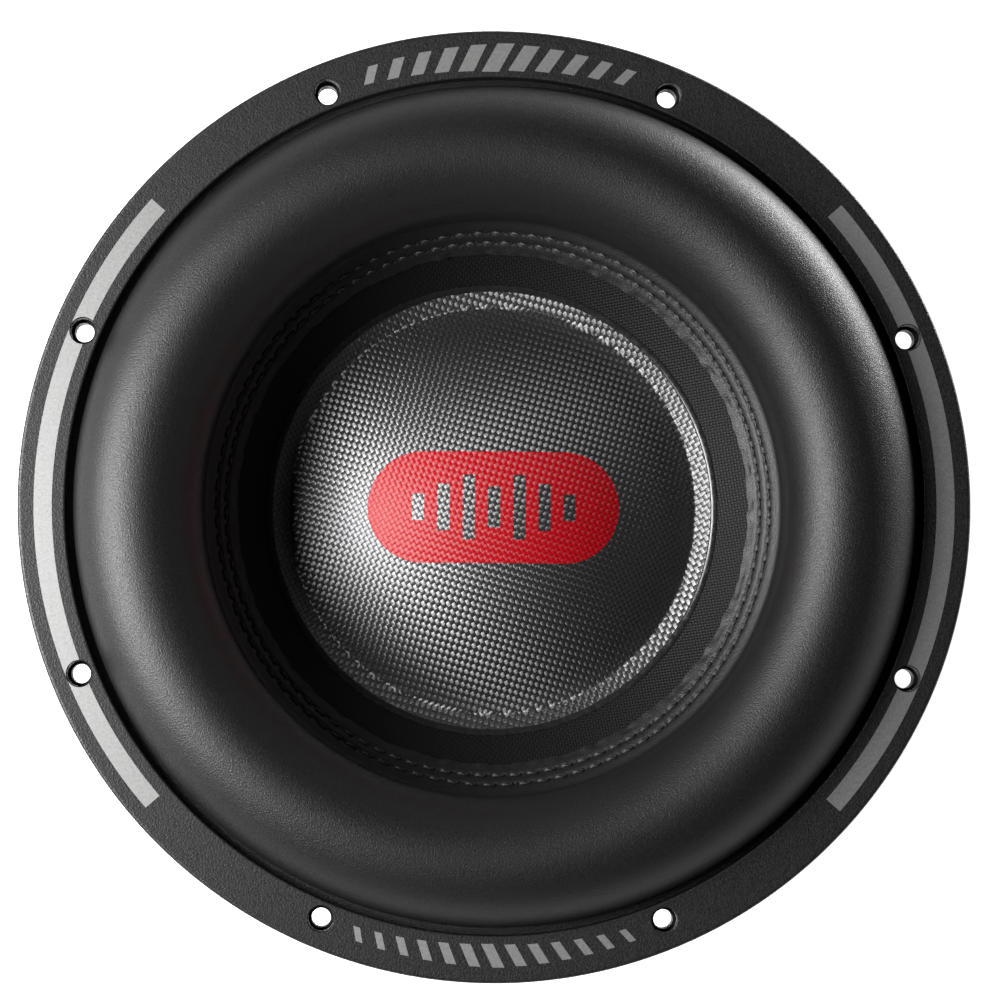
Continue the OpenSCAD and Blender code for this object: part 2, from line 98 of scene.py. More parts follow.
RING_R = ring_high[0]
RING_TOP = ring_high[2]
LEDGE_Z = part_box("basket")[1][2]
CROWN_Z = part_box("surround")[1][2]
FACING_R = facing_high[0]
FACING_Z = facing_high[2]
CAP_R = cap_high[0]
CAP_TOP = cap_high[2]
print(f"ring {2 * RING_R / MM:.1f} mm across, crown {CROWN_Z / MM:.1f} mm above the baffle")

# %% [markdown]
# ## The slope of the cone
#
# The surround's sewn lip, the cloth, the glue and the cap all lie on one cone. Its slope is a driving
# dimension of the design, so each of those pieces asks one short function for its height.

# %% One function for the cone's face
CONE_SLOPE = 0.74
CONE_TILT = math.atan(CONE_SLOPE)


def cone_height(radius, above=0.0):
    """Height of a line parallel to the cone's face, a distance above it."""
    return FACING_Z - (FACING_R - radius) * CONE_SLOPE + above / math.cos(CONE_TILT)


print(f"the cone falls {CONE_SLOPE} for each unit of run, {math.degrees(CONE_TILT):.1f} degrees")

# %% [markdown]
# ## Camera
#
# A product picture of a driver is taken with a long lens, almost straight on. A long lens keeps the
# deep cone and the high ring in proportion. The camera stands 1.4 m in front of the ring, a little
# to the left of the axis and below it, and looks at a point just beside the ring's middle.

# %% The camera
scene = bpy.context.scene
CAMERA_AT = Vector((-0.0381, -0.0605, 1.416))
LOOK_AT = Vector((0.0015, 0.0016, RING_TOP))
CAMERA_ROLL = math.radians(0.35)
FOCAL_LENGTH = 150.5
SENSOR_WIDTH = 36


def looking(at, target, roll=0.0):
    """Turns a camera or a light at one point to face another, with +Y of the world upwards."""
    back = (Vector(at) - Vector(target)).normalized()
    side = Vector((0, 1, 0)).cross(back).normalized()
    turned = Matrix((side, back.cross(side), back)).transposed()
    return (turned @ Matrix.Rotation(roll, 3, "Z")).to_euler()


lens = bpy.data.cameras.new("front_camera")
lens.lens = FOCAL_LENGTH
lens.sensor_width = SENSOR_WIDTH
camera = bpy.data.objects.new("front_camera", lens)
scene.collection.objects.link(camera)
camera.location = CAMERA_AT
camera.rotation_euler = looking(CAMERA_AT, LOOK_AT, CAMERA_ROLL)
scene.camera = camera
print(f"camera {(CAMERA_AT - LOOK_AT).length:.2f} m away")

# %% [markdown]
# ## Light
#
# A black rubber roll is read by its highlights, so the light is made first. A large soft box on the
# left draws the long highlight on the roll, and a small panel close to the ring brightens the left of
# the cap and of the ring. A narrow strip low on the right edges the far side of the roll. The world is
# dark overhead, as a studio is, and pale near the horizon, so that glancing reflections stay bright.

# %% Soft boxes
def soft_box(name, at, aim, width, height, watts):
    """A rectangular light at one point that faces another; the camera doesn't see it."""
    light = bpy.data.lights.new(name, "AREA")
    light.shape = "RECTANGLE"
    light.size = width
    light.size_y = height
    light.energy = watts
    box = bpy.data.objects.new(name, light)
    scene.collection.objects.link(box)
    box.location = at
    box.rotation_euler = looking(at, aim)
    box.visible_camera = False


soft_box("left_soft_box", (-1.75, -0.05, 1.85), (0, 0, 0), 0.9, 1.4, 70)
soft_box("left_near_panel", (-0.42, -0.02, 0.33), (-0.13, 0, 0), 0.22, 0.36, 4.2)
soft_box("right_strip", (0.60, 0.52, -0.12), (0.09, 0.08, 0.02), 0.06, 0.45, 9)
print("three soft boxes")

# %% A world that is dark overhead and pale at the horizon
PALE_UP_TO = 0.04
GREY_AT = 0.24
DARK_FROM = 0.55
world = bpy.data.worlds.new("studio")
scene.world = world
world.use_nodes = True
sky = world.node_tree
sky.nodes.clear()
sky_out = sky.nodes.new("ShaderNodeOutputWorld")
background = sky.nodes.new("ShaderNodeBackground")
direction = sky.nodes.new("ShaderNodeTexCoord")
split = sky.nodes.new("ShaderNodeSeparateXYZ")
ramp = sky.nodes.new("ShaderNodeValToRGB")
sky.links.new(direction.outputs["Generated"], split.inputs[0])
sky.links.new(split.outputs["Z"], ramp.inputs["Fac"])
sky.links.new(ramp.outputs["Color"], background.inputs["Color"])
sky.links.new(background.outputs[0], sky_out.inputs[0])
ramp.color_ramp.elements[0].position = PALE_UP_TO
ramp.color_ramp.elements[0].color = (0.95, 0.95, 0.955, 1)
ramp.color_ramp.elements[1].position = DARK_FROM
ramp.color_ramp.elements[1].color = (0.02, 0.02, 0.021, 1)
shoulder = ramp.color_ramp.elements.new(GREY_AT)
shoulder.color = (0.30, 0.30, 0.305, 1)
background.inputs["Strength"].default_value = 1.0
scene.view_settings.view_transform = "Standard"
print(f"the world fades from pale to dark up to {math.degrees(math.asin(DARK_FROM)):.0f} degrees")

# %% [markdown]
# ## Materials
#
# Every finish here is procedural. All but the thread's read Object coordinates, so that they stay put
# on the piece and have a real scale in metres. One helper starts a material, and small helpers add
# grain as bump and as a slight change of colour or roughness. A value that is the same all over the
# piece is set on the shader itself.

# %% Helpers that start a material and add grain
def new_material(name, color, roughness, metallic=0.0, **sockets):
    material = bpy.data.materials.new(name)
    material.use_nodes = True
    shader = material.node_tree.nodes["Principled BSDF"]
    shader.inputs["Base Color"].default_value = (*color, 1)
    shader.inputs["Roughness"].default_value = roughness
    shader.inputs["Metallic"].default_value = metallic
    for socket, value in sockets.items():
        shader.inputs[socket.replace("_", " ")].default_value = value
    return material


def node(material, kind, **values):
    made = material.node_tree.nodes.new(kind)
    for key, value in values.items():
        setattr(made, key, value)
    return made


def link(material, source, target):
    material.node_tree.links.new(source, target)


def shader_of(material):
    return material.node_tree.nodes["Principled BSDF"]


def place(material):
    """The Object coordinate, in metres."""
    found = material.node_tree.nodes.get("Place")
    if found is None:
        found = node(material, "ShaderNodeTexCoord")
        found.name = "Place"
    return found.outputs["Object"]


def xyz_of(material, vector):
    """The three parts of a vector, by the names X, Y and Z."""
    made = node(material, "ShaderNodeSeparateXYZ")
    link(material, vector, made.inputs[0])
    return made.outputs


def math_node(material, operation, a, b=None):
    made = node(material, "ShaderNodeMath", operation=operation)
    for socket, value in zip(made.inputs, (a, b)):
        if value is None:
            continue
        if isinstance(value, (int, float)):
            socket.default_value = value
        else:
            link(material, value, socket)
    return made.outputs[0]


def scaled_place(material, size, stretch=(1, 1, 1)):
    """The Object coordinate counted in steps of size, stretched along the axes."""
    mapping = node(material, "ShaderNodeMapping")
    mapping.inputs["Scale"].default_value = [1 / (size * s) for s in stretch]
    link(material, place(material), mapping.inputs["Vector"])
    return mapping.outputs[0]


def texture_at(material, kind, vector, output, **sockets):
    """One output of a texture of scale 1, read at a vector."""
    texture = node(material, kind)
    texture.inputs["Scale"].default_value = 1.0
    for socket, value in sockets.items():
        texture.inputs[socket].default_value = value
    link(material, vector, texture.inputs["Vector"])
    return texture.outputs[output]


def noise(material, size, detail=2.0, stretch=(1, 1, 1)):
    """Noise whose grains are about size across."""
    at = scaled_place(material, size, stretch)
    return texture_at(material, "ShaderNodeTexNoise", at, "Fac", Detail=detail)


def remap(material, value, low, high, to_low, to_high):
    made = node(material, "ShaderNodeMapRange")
    made.inputs["From Min"].default_value = low
    made.inputs["From Max"].default_value = high
    made.inputs["To Min"].default_value = to_low
    made.inputs["To Max"].default_value = to_high
    link(material, value, made.inputs["Value"])
    return made.outputs["Result"]


def mix(material, kind, factor, a, b):
    """a where factor is 0 and b where it is 1; kind is FLOAT, VECTOR or RGBA."""
    made = node(material, "ShaderNodeMix", data_type=kind)
    sockets = {s.name: s for s in made.inputs if s.enabled}
    link(material, factor, sockets["Factor"])
    for name, value in (("A", a), ("B", b)):
        if isinstance(value, bpy.types.NodeSocket):
            link(material, value, sockets[name])
        else:
            sockets[name].default_value = (*value, 1) if kind == "RGBA" else value
    return [s for s in made.outputs if s.enabled][0]


def mix_colors(material, factor, a, b):
    return mix(material, "RGBA", factor, a, b)


def add_bump(material, height, depth, strength=1.0):
    """Bump from a height of 0 to 1 that stands depth metres tall; bumps stack on each other."""
    shader = shader_of(material)
    bump = node(material, "ShaderNodeBump")
    bump.inputs["Distance"].default_value = depth
    bump.inputs["Strength"].default_value = strength
    link(material, height, bump.inputs["Height"])
    earlier = shader.inputs["Normal"].links
    if earlier:
        link(material, earlier[0].from_socket, bump.inputs["Normal"])
    link(material, bump.outputs[0], shader.inputs["Normal"])


def tint(material, factor, a, b):
    link(material, mix_colors(material, factor, a, b), shader_of(material).inputs["Base Color"])


def gloss_range(material, factor, low, high):
    """Roughness that wanders between low and high."""
    rough = remap(material, factor, 0.3, 0.7, low, high)
    link(material, rough, shader_of(material).inputs["Roughness"])


print("material helpers ready")

# %% [markdown]
# ## Mesh helpers
#
# Almost every piece of a driver is turned, so most meshes start as a half section that is spun about
# the axis. A full spin merges its last step with its first. The section is a closed loop, so that the
# shell has an inside and an outside, and its normals are made consistent once doubles are merged.

# %% Turning a half section
def arc(center, radius, start, end, steps):
    """Points on an arc of the half section, angles in degrees."""
    angles = [math.radians(start + (end - start) * i / steps) for i in range(steps + 1)]
    return [(center[0] + radius * math.cos(a), center[1] + radius * math.sin(a)) for a in angles]


def turned(section, steps, sweep=TURN):
    """A bmesh that spins a closed half section of (radius, height) points about the axis."""
    bm = bmesh.new()
    points = [bm.verts.new((r, 0, z)) for r, z in section]
    edges = [bm.edges.new(pair) for pair in zip(points, points[1:] + points[:1])]
    full = abs(sweep - TURN) < 1e-9
    bmesh.ops.spin(
        bm, geom=points + edges, cent=(0, 0, 0), axis=(0, 0, 1),
        angle=sweep, steps=steps, use_merge=full,
    )
    bmesh.ops.remove_doubles(bm, verts=bm.verts, dist=0.002 * MM)
    bmesh.ops.recalc_face_normals(bm, faces=bm.faces)
    return bm


SHARP_ANGLE = 35


def to_object(bm, name, materials, sharp=SHARP_ANGLE):
    """Ends a bmesh as an object at the origin, smooth but for its sharp edges."""
    mesh = bpy.data.meshes.new(name)
    bm.to_mesh(mesh)
    bm.free()
    mesh.polygons.foreach_set("use_smooth", [True] * len(mesh.polygons))
    mesh.set_sharp_from_angle(angle=math.radians(sharp))
    for material in materials:
        mesh.materials.append(material)
    piece = bpy.data.objects.new(name, mesh)
    scene.collection.objects.link(piece)
    return piece


def cut(piece, cutter):
    """Subtracts cutter from piece and throws the cutter away."""
    modifier = piece.modifiers.new("cut", "BOOLEAN")
    modifier.operation = "DIFFERENCE"
    modifier.solver = "EXACT"
    modifier.object = cutter
    graph = bpy.context.evaluated_depsgraph_get()
    mesh = bpy.data.meshes.new_from_object(piece.evaluated_get(graph))
    piece.modifiers.clear()
    mesh.set_sharp_from_angle(angle=math.radians(SHARP_ANGLE))
    piece.data = mesh
    bpy.data.objects.remove(cutter)


print("mesh helpers ready")

# %% [markdown]
# ## Where a piece belongs
#
# The imported record says for each node which body it moves with and which slot its finish has. A
# finished piece takes the node's place, so one helper looks up its body and hides the node. A piece
# that bends between two bodies doesn't ride on either of them.

# %% Take a node's place
BODY_OF = {}
for body, members in frame["record"]["behaviour"]["bodies"].items():
    for member in members:
        BODY_OF[member] = body


def stand_in(piece, name, rides=True):
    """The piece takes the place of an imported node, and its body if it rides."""
    if rides:
        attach(piece, BODY_OF[name])
    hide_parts(name)


print(f"{len(BODY_OF)} nodes in {len(set(BODY_OF.values()))} bodies")

# %% [markdown]
# ## The trim ring
#
# The ring is a turned casting with a fine powder coat. Its section has a rounded outer edge, a small
# rounded lip inside and a rebate over the surround's edge. The eight holes are cut by a Boolean with
# cylinders that end in a cone, which leaves the small chamfer of a drilled and deburred hole.

# %% Powder coat
coat = new_material("powder_coat", (0.012, 0.012, 0.0125), 0.46, Specular_IOR_Level=0.5)
coat_grain = noise(coat, 0.6 * MM, 3)
add_bump(coat, coat_grain, 0.14 * MM)
add_bump(coat, noise(coat, 1.6 * MM, 2), 0.02 * MM)
gloss_range(coat, noise(coat, 0.6 * MM, 2), 0.40, 0.50)
tint(coat, remap(coat, coat_grain, 0.35, 0.65, 0, 1), (0.003, 0.003, 0.0032), (0.010, 0.010, 0.0103))

# %% The ring and its holes
RING_INNER_R = 144 * MM
LIP_OUTER_R = 145.3 * MM
SKIRT_R = RING_R - 1.8 * MM
SKIRT_Z = ring_low[2]
REBATE_Z = LEDGE_Z + 2.1 * MM
EDGE = 1.1 * MM
LIP = 0.7 * MM
FLAT_LOOP = 0.25 * MM
BOLT_CIRCLE_R = 150 * MM
HOLE_R = 4.25 * MM
HOLE_CHAMFER = 0.35 * MM
HOLE_COUNT = 8
HOLE_ANGLES = [TURN / HOLE_COUNT * (i + 0.5) for i in range(HOLE_COUNT)]

ring_section = [
    (RING_INNER_R, REBATE_Z), (LIP_OUTER_R, REBATE_Z), (LIP_OUTER_R, LEDGE_Z),
    (SKIRT_R, LEDGE_Z), (SKIRT_R, SKIRT_Z), (RING_R, SKIRT_Z),
]
ring_section += arc((RING_R - EDGE, RING_TOP - EDGE), EDGE, 0, 90, 6)
ring_section += [(RING_R - EDGE - FLAT_LOOP, RING_TOP), (RING_INNER_R + LIP + FLAT_LOOP, RING_TOP)]
ring_section += arc((RING_INNER_R + LIP, RING_TOP - LIP), LIP, 90, 180, 5)


def hole_cutter(radius, chamfer, low, high):
    """Cylinders at every mounting hole, each with a widening mouth at its top."""
    bm = bmesh.new()
    for angle in HOLE_ANGLES:
        at = Matrix.Rotation(angle, 4, "Z") @ Matrix.Translation((BOLT_CIRCLE_R, 0, 0))
        made = bmesh.ops.create_cone(
            bm, cap_ends=True, segments=48, radius1=radius, radius2=radius,
            depth=high - low, matrix=at @ Matrix.Translation((0, 0, (low + high) / 2)),
        )
        if chamfer == 0:
            continue
        top = [v for v in made["verts"] if v.co.z > high - 0.01 * MM]
        middle = sum((v.co for v in top), Vector()) / len(top)
        face = [f for f in bm.faces if f.is_valid and all(v in top for v in f.verts)]
        grown = bmesh.ops.extrude_discrete_faces(bm, faces=face)["faces"]
        lifted = {v for f in grown for v in f.verts}
        for v in lifted:
            v.co += (v.co - middle) * (2 * chamfer / radius)
            v.co.z += 2 * chamfer
    bmesh.ops.recalc_face_normals(bm, faces=bm.faces)
    return to_object(bm, "hole_cutter", [])


ring = to_object(turned(ring_section, 288), "trim_ring_coated", [coat])
cut(ring, hole_cutter(HOLE_R, HOLE_CHAMFER, SKIRT_Z - MM, RING_TOP - HOLE_CHAMFER))
stand_in(ring, "trim_ring")
bolt_circle = 2 * BOLT_CIRCLE_R / MM
print(f"ring: {len(ring.data.polygons)} faces, {HOLE_COUNT} holes on a {bolt_circle:.0f} mm circle")

# %% [markdown]
# ## The print on the ring
#
# Two silver arcs run along the sides, and a run of slanted bars stands at the top and at the bottom,
# in place of any name. Ink could be a mask in the ring's own material, but a thin solid layer keeps its
# edges crisp at any distance, and it takes the same holes as the ring. Each bar is a small grid,
# sheared, then given the thickness of a layer of ink.

# %% Silver ink
ink = new_material("silver_ink", (0.34, 0.34, 0.336), 0.48, 0.85)
add_bump(ink, noise(ink, 0.5 * MM, 2), 0.02 * MM, 0.5)
gloss_range(ink, noise(ink, 0.9 * MM, 2), 0.42, 0.50)

# %% The two arcs
INK_T = 0.06 * MM
ARC_LOW_R = 148.4 * MM
ARC_HIGH_R = 154.5 * MM
ARC_HALF = math.radians(41.3)


def ink_arc(middle):
    """A flat band of ink, centred on one side of the ring."""
    section = [
        (ARC_LOW_R, RING_TOP - INK_T), (ARC_HIGH_R, RING_TOP - INK_T),
        (ARC_HIGH_R, RING_TOP + INK_T), (ARC_LOW_R, RING_TOP + INK_T),
    ]
    bm = turned(section, 120, sweep=2 * ARC_HALF)
    open_edges = [e for e in bm.edges if e.is_boundary]
    bmesh.ops.holes_fill(bm, edges=open_edges, sides=0)
    bmesh.ops.recalc_face_normals(bm, faces=bm.faces)
    bmesh.ops.rotate(
        bm, verts=bm.verts, cent=(0, 0, 0), matrix=Matrix.Rotation(middle - ARC_HALF, 3, "Z")
    )
    return bm


for side, middle in (("right", 0.0), ("left", math.pi)):
    band = to_object(ink_arc(middle), f"ink_arc_{side}", [ink])
    cut(band, hole_cutter(HOLE_R + HOLE_CHAMFER, 0, SKIRT_Z, RING_TOP + MM))
    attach(band, "driver_frame")
print(f"two arcs of {2 * math.degrees(ARC_HALF):.0f} degrees")

# %% The slanted bars
BAR_SHRINK = 0.45


def ink_bars(name, middle, count, pitch, width, low_r, high_r, slant):
    """A run of slanted bars round the ring; the end ones are shorter and narrower."""
    bm = bmesh.new()
    for i in range(count):
        step = i - (count - 1) / 2
        share = 1 - BAR_SHRINK * abs(step) / (count / 2)
        tall = (high_r - low_r) * share
        grid = bmesh.ops.create_grid(bm, x_segments=1, y_segments=6, size=0.5)["verts"]
        for v in grid:
            v.co.x = v.co.x * width * share + slant * v.co.y * tall
            v.co.y = (low_r + high_r) / 2 + v.co.y * tall
            v.co.z = RING_TOP + INK_T
        turn = Matrix.Rotation(middle - math.pi / 2 - step * pitch, 3, "Z")
        bmesh.ops.rotate(bm, verts=grid, cent=(0, 0, 0), matrix=turn)
    bmesh.ops.solidify(bm, geom=bm.faces[:], thickness=2 * INK_T)
    bmesh.ops.recalc_face_normals(bm, faces=bm.faces)
    bars = to_object(bm, name, [ink])
    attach(bars, "driver_frame")


ink_bars("ink_bars_top", math.pi / 2, 11, math.radians(3.3), 5.8 * MM, 146.0 * MM, 155.6 * MM, 0.55)
ink_bars("ink_bars_bottom", -math.pi / 2, 13, math.radians(2.9), 4.0 * MM, 146.7 * MM, 154.6 * MM, -0.5)
print("a run of bars at the top and at the bottom")

# %% [markdown]
# ## The surround
#
# The surround is a tall half roll of foamed rubber, two millimetres thick. It has a flat lip under the
# trim ring and a second lip that lies on the cone, where two rows of stitches go through it. The roll
# is one closed section, spun in enough steps for the small puckers that the stitches pull into the
# lip: each pucker is a dip worked out from a point's own radius and angle.

# %% Foamed rubber
rubber = new_material("foamed_rubber", (0.006, 0.006, 0.0062), 0.46, Specular_IOR_Level=0.45)
rubber_grain = noise(rubber, 0.5 * MM, 3)
add_bump(rubber, rubber_grain, 0.16 * MM)
add_bump(rubber, noise(rubber, 1.8 * MM, 2), 0.04 * MM)
gloss_range(rubber, noise(rubber, 0.8 * MM, 2), 0.40, 0.50)
tint(
    rubber, remap(rubber, rubber_grain, 0.35, 0.68, 0, 1), (0.002, 0.002, 0.0021), (0.008, 0.008, 0.0082)
)

# %% The path through the middle of the roll's wall
WALL = 2 * MM
ROLL_R = 119 * MM
ROLL_HALF = 20.5 * MM - WALL / 2
SEWN_LIP_R = 88 * MM
FOOT_FILLET = 4 * MM
OUTER_SWELL = 1.1
OUTER_FILLET = 1.2 * MM
LIP_END_R = 145 * MM

leg_r = ROLL_R - ROLL_HALF
foot_r = leg_r - FOOT_FILLET + FOOT_FILLET * math.sin(CONE_TILT)
foot_z = cone_height(foot_r, WALL / 2) + FOOT_FILLET * math.cos(CONE_TILT)
lip_z = LEDGE_Z + WALL / 2
lip_steps = 22
lip_points = [SEWN_LIP_R + (foot_r - SEWN_LIP_R) * i / lip_steps for i in range(lip_steps)]

roll_path = [(r, cone_height(r, WALL / 2)) for r in lip_points]
roll_path += arc((leg_r - FOOT_FILLET, foot_z), FOOT_FILLET, math.degrees(CONE_TILT) - 90, 0, 5)
half_round = arc((ROLL_R, CROWN_Z - WALL / 2 - ROLL_HALF), ROLL_HALF, 180, 0, 26)
roll_path += [(r if r < ROLL_R else ROLL_R + (r - ROLL_R) * OUTER_SWELL, z) for r, z in half_round]
outer_leg_r = ROLL_R + ROLL_HALF * OUTER_SWELL
roll_path += arc((outer_leg_r + OUTER_FILLET, lip_z + OUTER_FILLET), OUTER_FILLET, 180, 270, 4)
roll_path += [(LIP_END_R, lip_z)]


def band_section(path, thickness):
    """The two sides of a wall that follows an open path."""
    left, right = [], []
    for i, point in enumerate(path):
        before = path[max(i - 1, 0)]
        after = path[min(i + 1, len(path) - 1)]
        along = Vector((after[0] - before[0], after[1] - before[1])).normalized()
        out = Vector((-along.y, along.x)) * thickness / 2
        left.append((point[0] + out.x, point[1] + out.y))
        right.append((point[0] - out.x, point[1] - out.y))
    return left, right


roll_top, roll_under = band_section(roll_path, WALL)
print(f"the roll's path has {len(roll_path)} points")

# %% Spin the roll and pull the stitches into its lip
STITCH_ROWS = ((91.3 * MM, 0.0), (94.4 * MM, 0.5))
STITCH_COUNT = 96
STITCH_FILL = 0.7
ROLL_STEPS = STITCH_COUNT * 7


def stitch_phase(angle, offset):
    """How far a place is along its stitch, from 0 to 1."""
    return (angle / TURN * STITCH_COUNT - offset) % 1.0


def pucker(radius, angle):
    """Depth that the thread pulls the lip down at a place."""
    depth = 0.0
    for row_r, offset in STITCH_ROWS:
        across = (radius - row_r) / (0.62 * MM)
        if abs(across) > 3:
            continue
        pitch = TURN * row_r / STITCH_COUNT
        phase = stitch_phase(angle, offset)
        depth += 0.42 * MM * math.exp(-across * across)
        for hole in (0.0, STITCH_FILL, 1.0):
            along = (phase - hole) * pitch / (0.7 * MM)
            depth += 0.5 * MM * math.exp(-across * across - along * along)
        bulge = (phase - (1 + STITCH_FILL) / 2) * pitch / (0.6 * MM)
        depth -= 0.36 * MM * math.exp(-across * across - bulge * bulge)
    return depth


bm = turned(roll_under[::-1] + roll_top, ROLL_STEPS)
for v in bm.verts:
    r = math.hypot(v.co.x, v.co.y)
    angle = math.atan2(v.co.y, v.co.x)
    if r < 97 * MM and v.co.z > cone_height(r, WALL * 0.5):
        v.co.z -= pucker(r, angle)
    if r < SEWN_LIP_R + 1.2 * MM:
        ragged = 0.22 * MM * math.sin(37 * angle + 2 * math.sin(11 * angle))
        ragged += 0.12 * MM * math.sin(91 * angle)
        v.co.x += ragged * math.cos(angle)
        v.co.y += ragged * math.sin(angle)
roll = to_object(bm, "surround_roll", [rubber], sharp=60)
print(f"surround: {len(roll.data.polygons)} faces")

# %% Blend by radius
BLEND_LAYER = "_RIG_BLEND"


def blend_by_radius(piece, outer_r, inner_r):
    """Follows the frame outside outer_r and the cone inside inner_r."""
    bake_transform(piece, "driver_frame", "moving_cone", start=(outer_r, 0, 0), end=(inner_r, 0, 0))
    weights = []
    for v in piece.data.vertices:
        share = (outer_r - math.hypot(v.co.x, v.co.y)) / (outer_r - inner_r)
        share = min(1.0, max(0.0, share))
        weights.append(share * share * (3 - 2 * share))
    piece.data.attributes[BLEND_LAYER].data.foreach_set("value", weights)


blend_by_radius(roll, 139.4 * MM, 99.5 * MM)
stand_in(roll, "surround", rides=False)
print("the roll bends between the basket and the cone")

# %% [markdown]
# ## The stitches
#
# Two rows of thick twisted thread hold the lip to the cone. There are nearly two hundred stitches, so
# one stitch is small: a little sphere of 56 faces is pulled out to a capsule, and then wrapped on the
# circle of its row. Its ends dive into their holes, and the lock of the thread makes a small knob at
# one end. The sphere's own UV map carries the twist, which winds round the thread as it goes along.

# %% Twisted thread
thread = new_material("twisted_thread", (0.02, 0.02, 0.021), 0.55, Specular_IOR_Level=0.5)
thread_uv = node(thread, "ShaderNodeUVMap")
thread_uv.uv_map = "twist"
THREAD_TURNS = 5.0
THREAD_PLIES = 2
thread_xyz = xyz_of(thread, thread_uv.outputs[0])
winding = math_node(thread, "MULTIPLY", thread_xyz["Y"], THREAD_TURNS)
strand = math_node(thread, "ADD", thread_xyz["X"], winding)
strand = math_node(thread, "SINE", math_node(thread, "MULTIPLY", strand, TURN * THREAD_PLIES))
add_bump(thread, strand, 0.12 * MM, 0.8)
# The colour darkens where the twist's relief is low: painted shade in the groove between the two plies.
tint(thread, remap(thread, strand, -1, 1, 0, 1), (0.008, 0.008, 0.0085), (0.035, 0.035, 0.036))

# %% One stitch, then two rows of them
THREAD_R = 0.5 * MM


def add_stitch(bm, row_r, start_angle):
    """A capsule wrapped on the row's circle, with both ends pulled into the cloth."""
    length = TURN * row_r / STITCH_COUNT * STITCH_FILL
    made = bmesh.ops.create_uvsphere(
        bm, u_segments=8, v_segments=7, radius=THREAD_R, calc_uvs=True
    )
    for v in made["verts"]:
        along = v.co.z + math.copysign(length / 2 - THREAD_R, v.co.z)
        share = 2 * along / length
        knob = math.exp(-(((share - 0.62) / 0.22) ** 2))
        thick = 1 + 0.45 * knob
        height = 0.16 * MM + 0.30 * MM * knob - 0.75 * MM * max(0.0, abs(share) - 0.55)
        x, y = v.co.x * thick, v.co.y * thick + height
        r = row_r + x * math.cos(CONE_TILT) - y * math.sin(CONE_TILT)
        angle = start_angle + (along + length / 2) / row_r
        z = cone_height(row_r, WALL) + x * math.sin(CONE_TILT) + y * math.cos(CONE_TILT) - 0.30 * MM
        v.co = (r * math.cos(angle), r * math.sin(angle), z)


bm = bmesh.new()
bm.loops.layers.uv.new("twist")
for row_r, offset in STITCH_ROWS:
    for i in range(STITCH_COUNT):
        add_stitch(bm, row_r, TURN * (i + offset) / STITCH_COUNT)
bmesh.ops.recalc_face_normals(bm, faces=bm.faces)
stitches = to_object(bm, "surround_stitches", [thread], sharp=80)
stand_in(stitches, "surround_stitching")
print(f"{2 * STITCH_COUNT} stitches, {len(stitches.data.polygons)} faces")

# %% [markdown]
# ## Woven cloth as numbers
#
# The cone's facing and the cap are both plain weave: each yarn goes over one and under the next. A
# plain weave is a chequerboard of little pillows. On the dark squares one family of yarns is on top,
# on the light squares the other. Two functions say the same thing: one gives the height to a vertex,
# and one builds it from nodes for a material, on the same grid, so relief and colour agree: the
# materials darken the colour where the relief is low, as painted shade in the gaps between yarns.

# %% The weave as a height and as nodes
def weave_axes(angle_a, angle_b):
    """Rows that turn (x, y) into a count of yarns across each family."""
    a = (math.cos(angle_a), math.sin(angle_a))
    b = (math.cos(angle_b), math.sin(angle_b))
    spread = a[0] * b[1] - a[1] * b[0]
    return (b[1] / spread, -b[0] / spread), (-a[1] / spread, a[0] / spread)


def weave_height(u, v, roundness=0.55, dip=0.5):
    """Height from 0 to 1 at a place on the grid, measured in yarns."""
    over = (math.floor(u) + math.floor(v)) % 2
    du, dv = u % 1.0 - 0.5, v % 1.0 - 0.5
    across, along = (du, dv) if over else (dv, du)
    return (1 - roundness * 4 * across * across) * (1 - dip * (2 * along) ** 4)


def weave_nodes(material, axes, pitch, roundness=0.55, dip=0.5):
    """The same height as nodes, and which family of yarns is on top (0 or 1)."""
    xyz = xyz_of(material, place(material))
    counts = []
    for row in axes:
        x = math_node(material, "MULTIPLY", xyz["X"], row[0] / pitch)
        y = math_node(material, "MULTIPLY", xyz["Y"], row[1] / pitch)
        counts.append(math_node(material, "ADD", x, y))
    floors = [math_node(material, "FLOOR", c) for c in counts]
    over = math_node(material, "FLOORED_MODULO", math_node(material, "ADD", *floors), 2.0)
    parts = [
        math_node(material, "SUBTRACT", math_node(material, "FRACT", c), 0.5) for c in counts
    ]
    across = mix(material, "FLOAT", over, parts[1], parts[0])
    along = mix(material, "FLOAT", over, parts[0], parts[1])
    crown = math_node(material, "MULTIPLY", math_node(material, "POWER", across, 2.0), 4 * roundness)
    ends = math_node(material, "POWER", math_node(material, "MULTIPLY", along, 2.0), 4.0)
    crown = math_node(material, "SUBTRACT", 1.0, crown)
    ends = math_node(material, "SUBTRACT", 1.0, math_node(material, "MULTIPLY", ends, dip))
    return math_node(material, "MULTIPLY", crown, ends), over


print(f"a pillow is 1 high in its middle and {weave_height(0.5, 0.0):.2f} high at its side")

# %% [markdown]
# ## The cloth on the cone
#
# A fine black cloth is pressed onto the paper cone. Between the sewn lip and the glue of the cap it
# is the only thing to be seen, so it gets its weave as bump. The cloth itself is a turned sheet, like
# the one it replaces, with enough steps to be round.

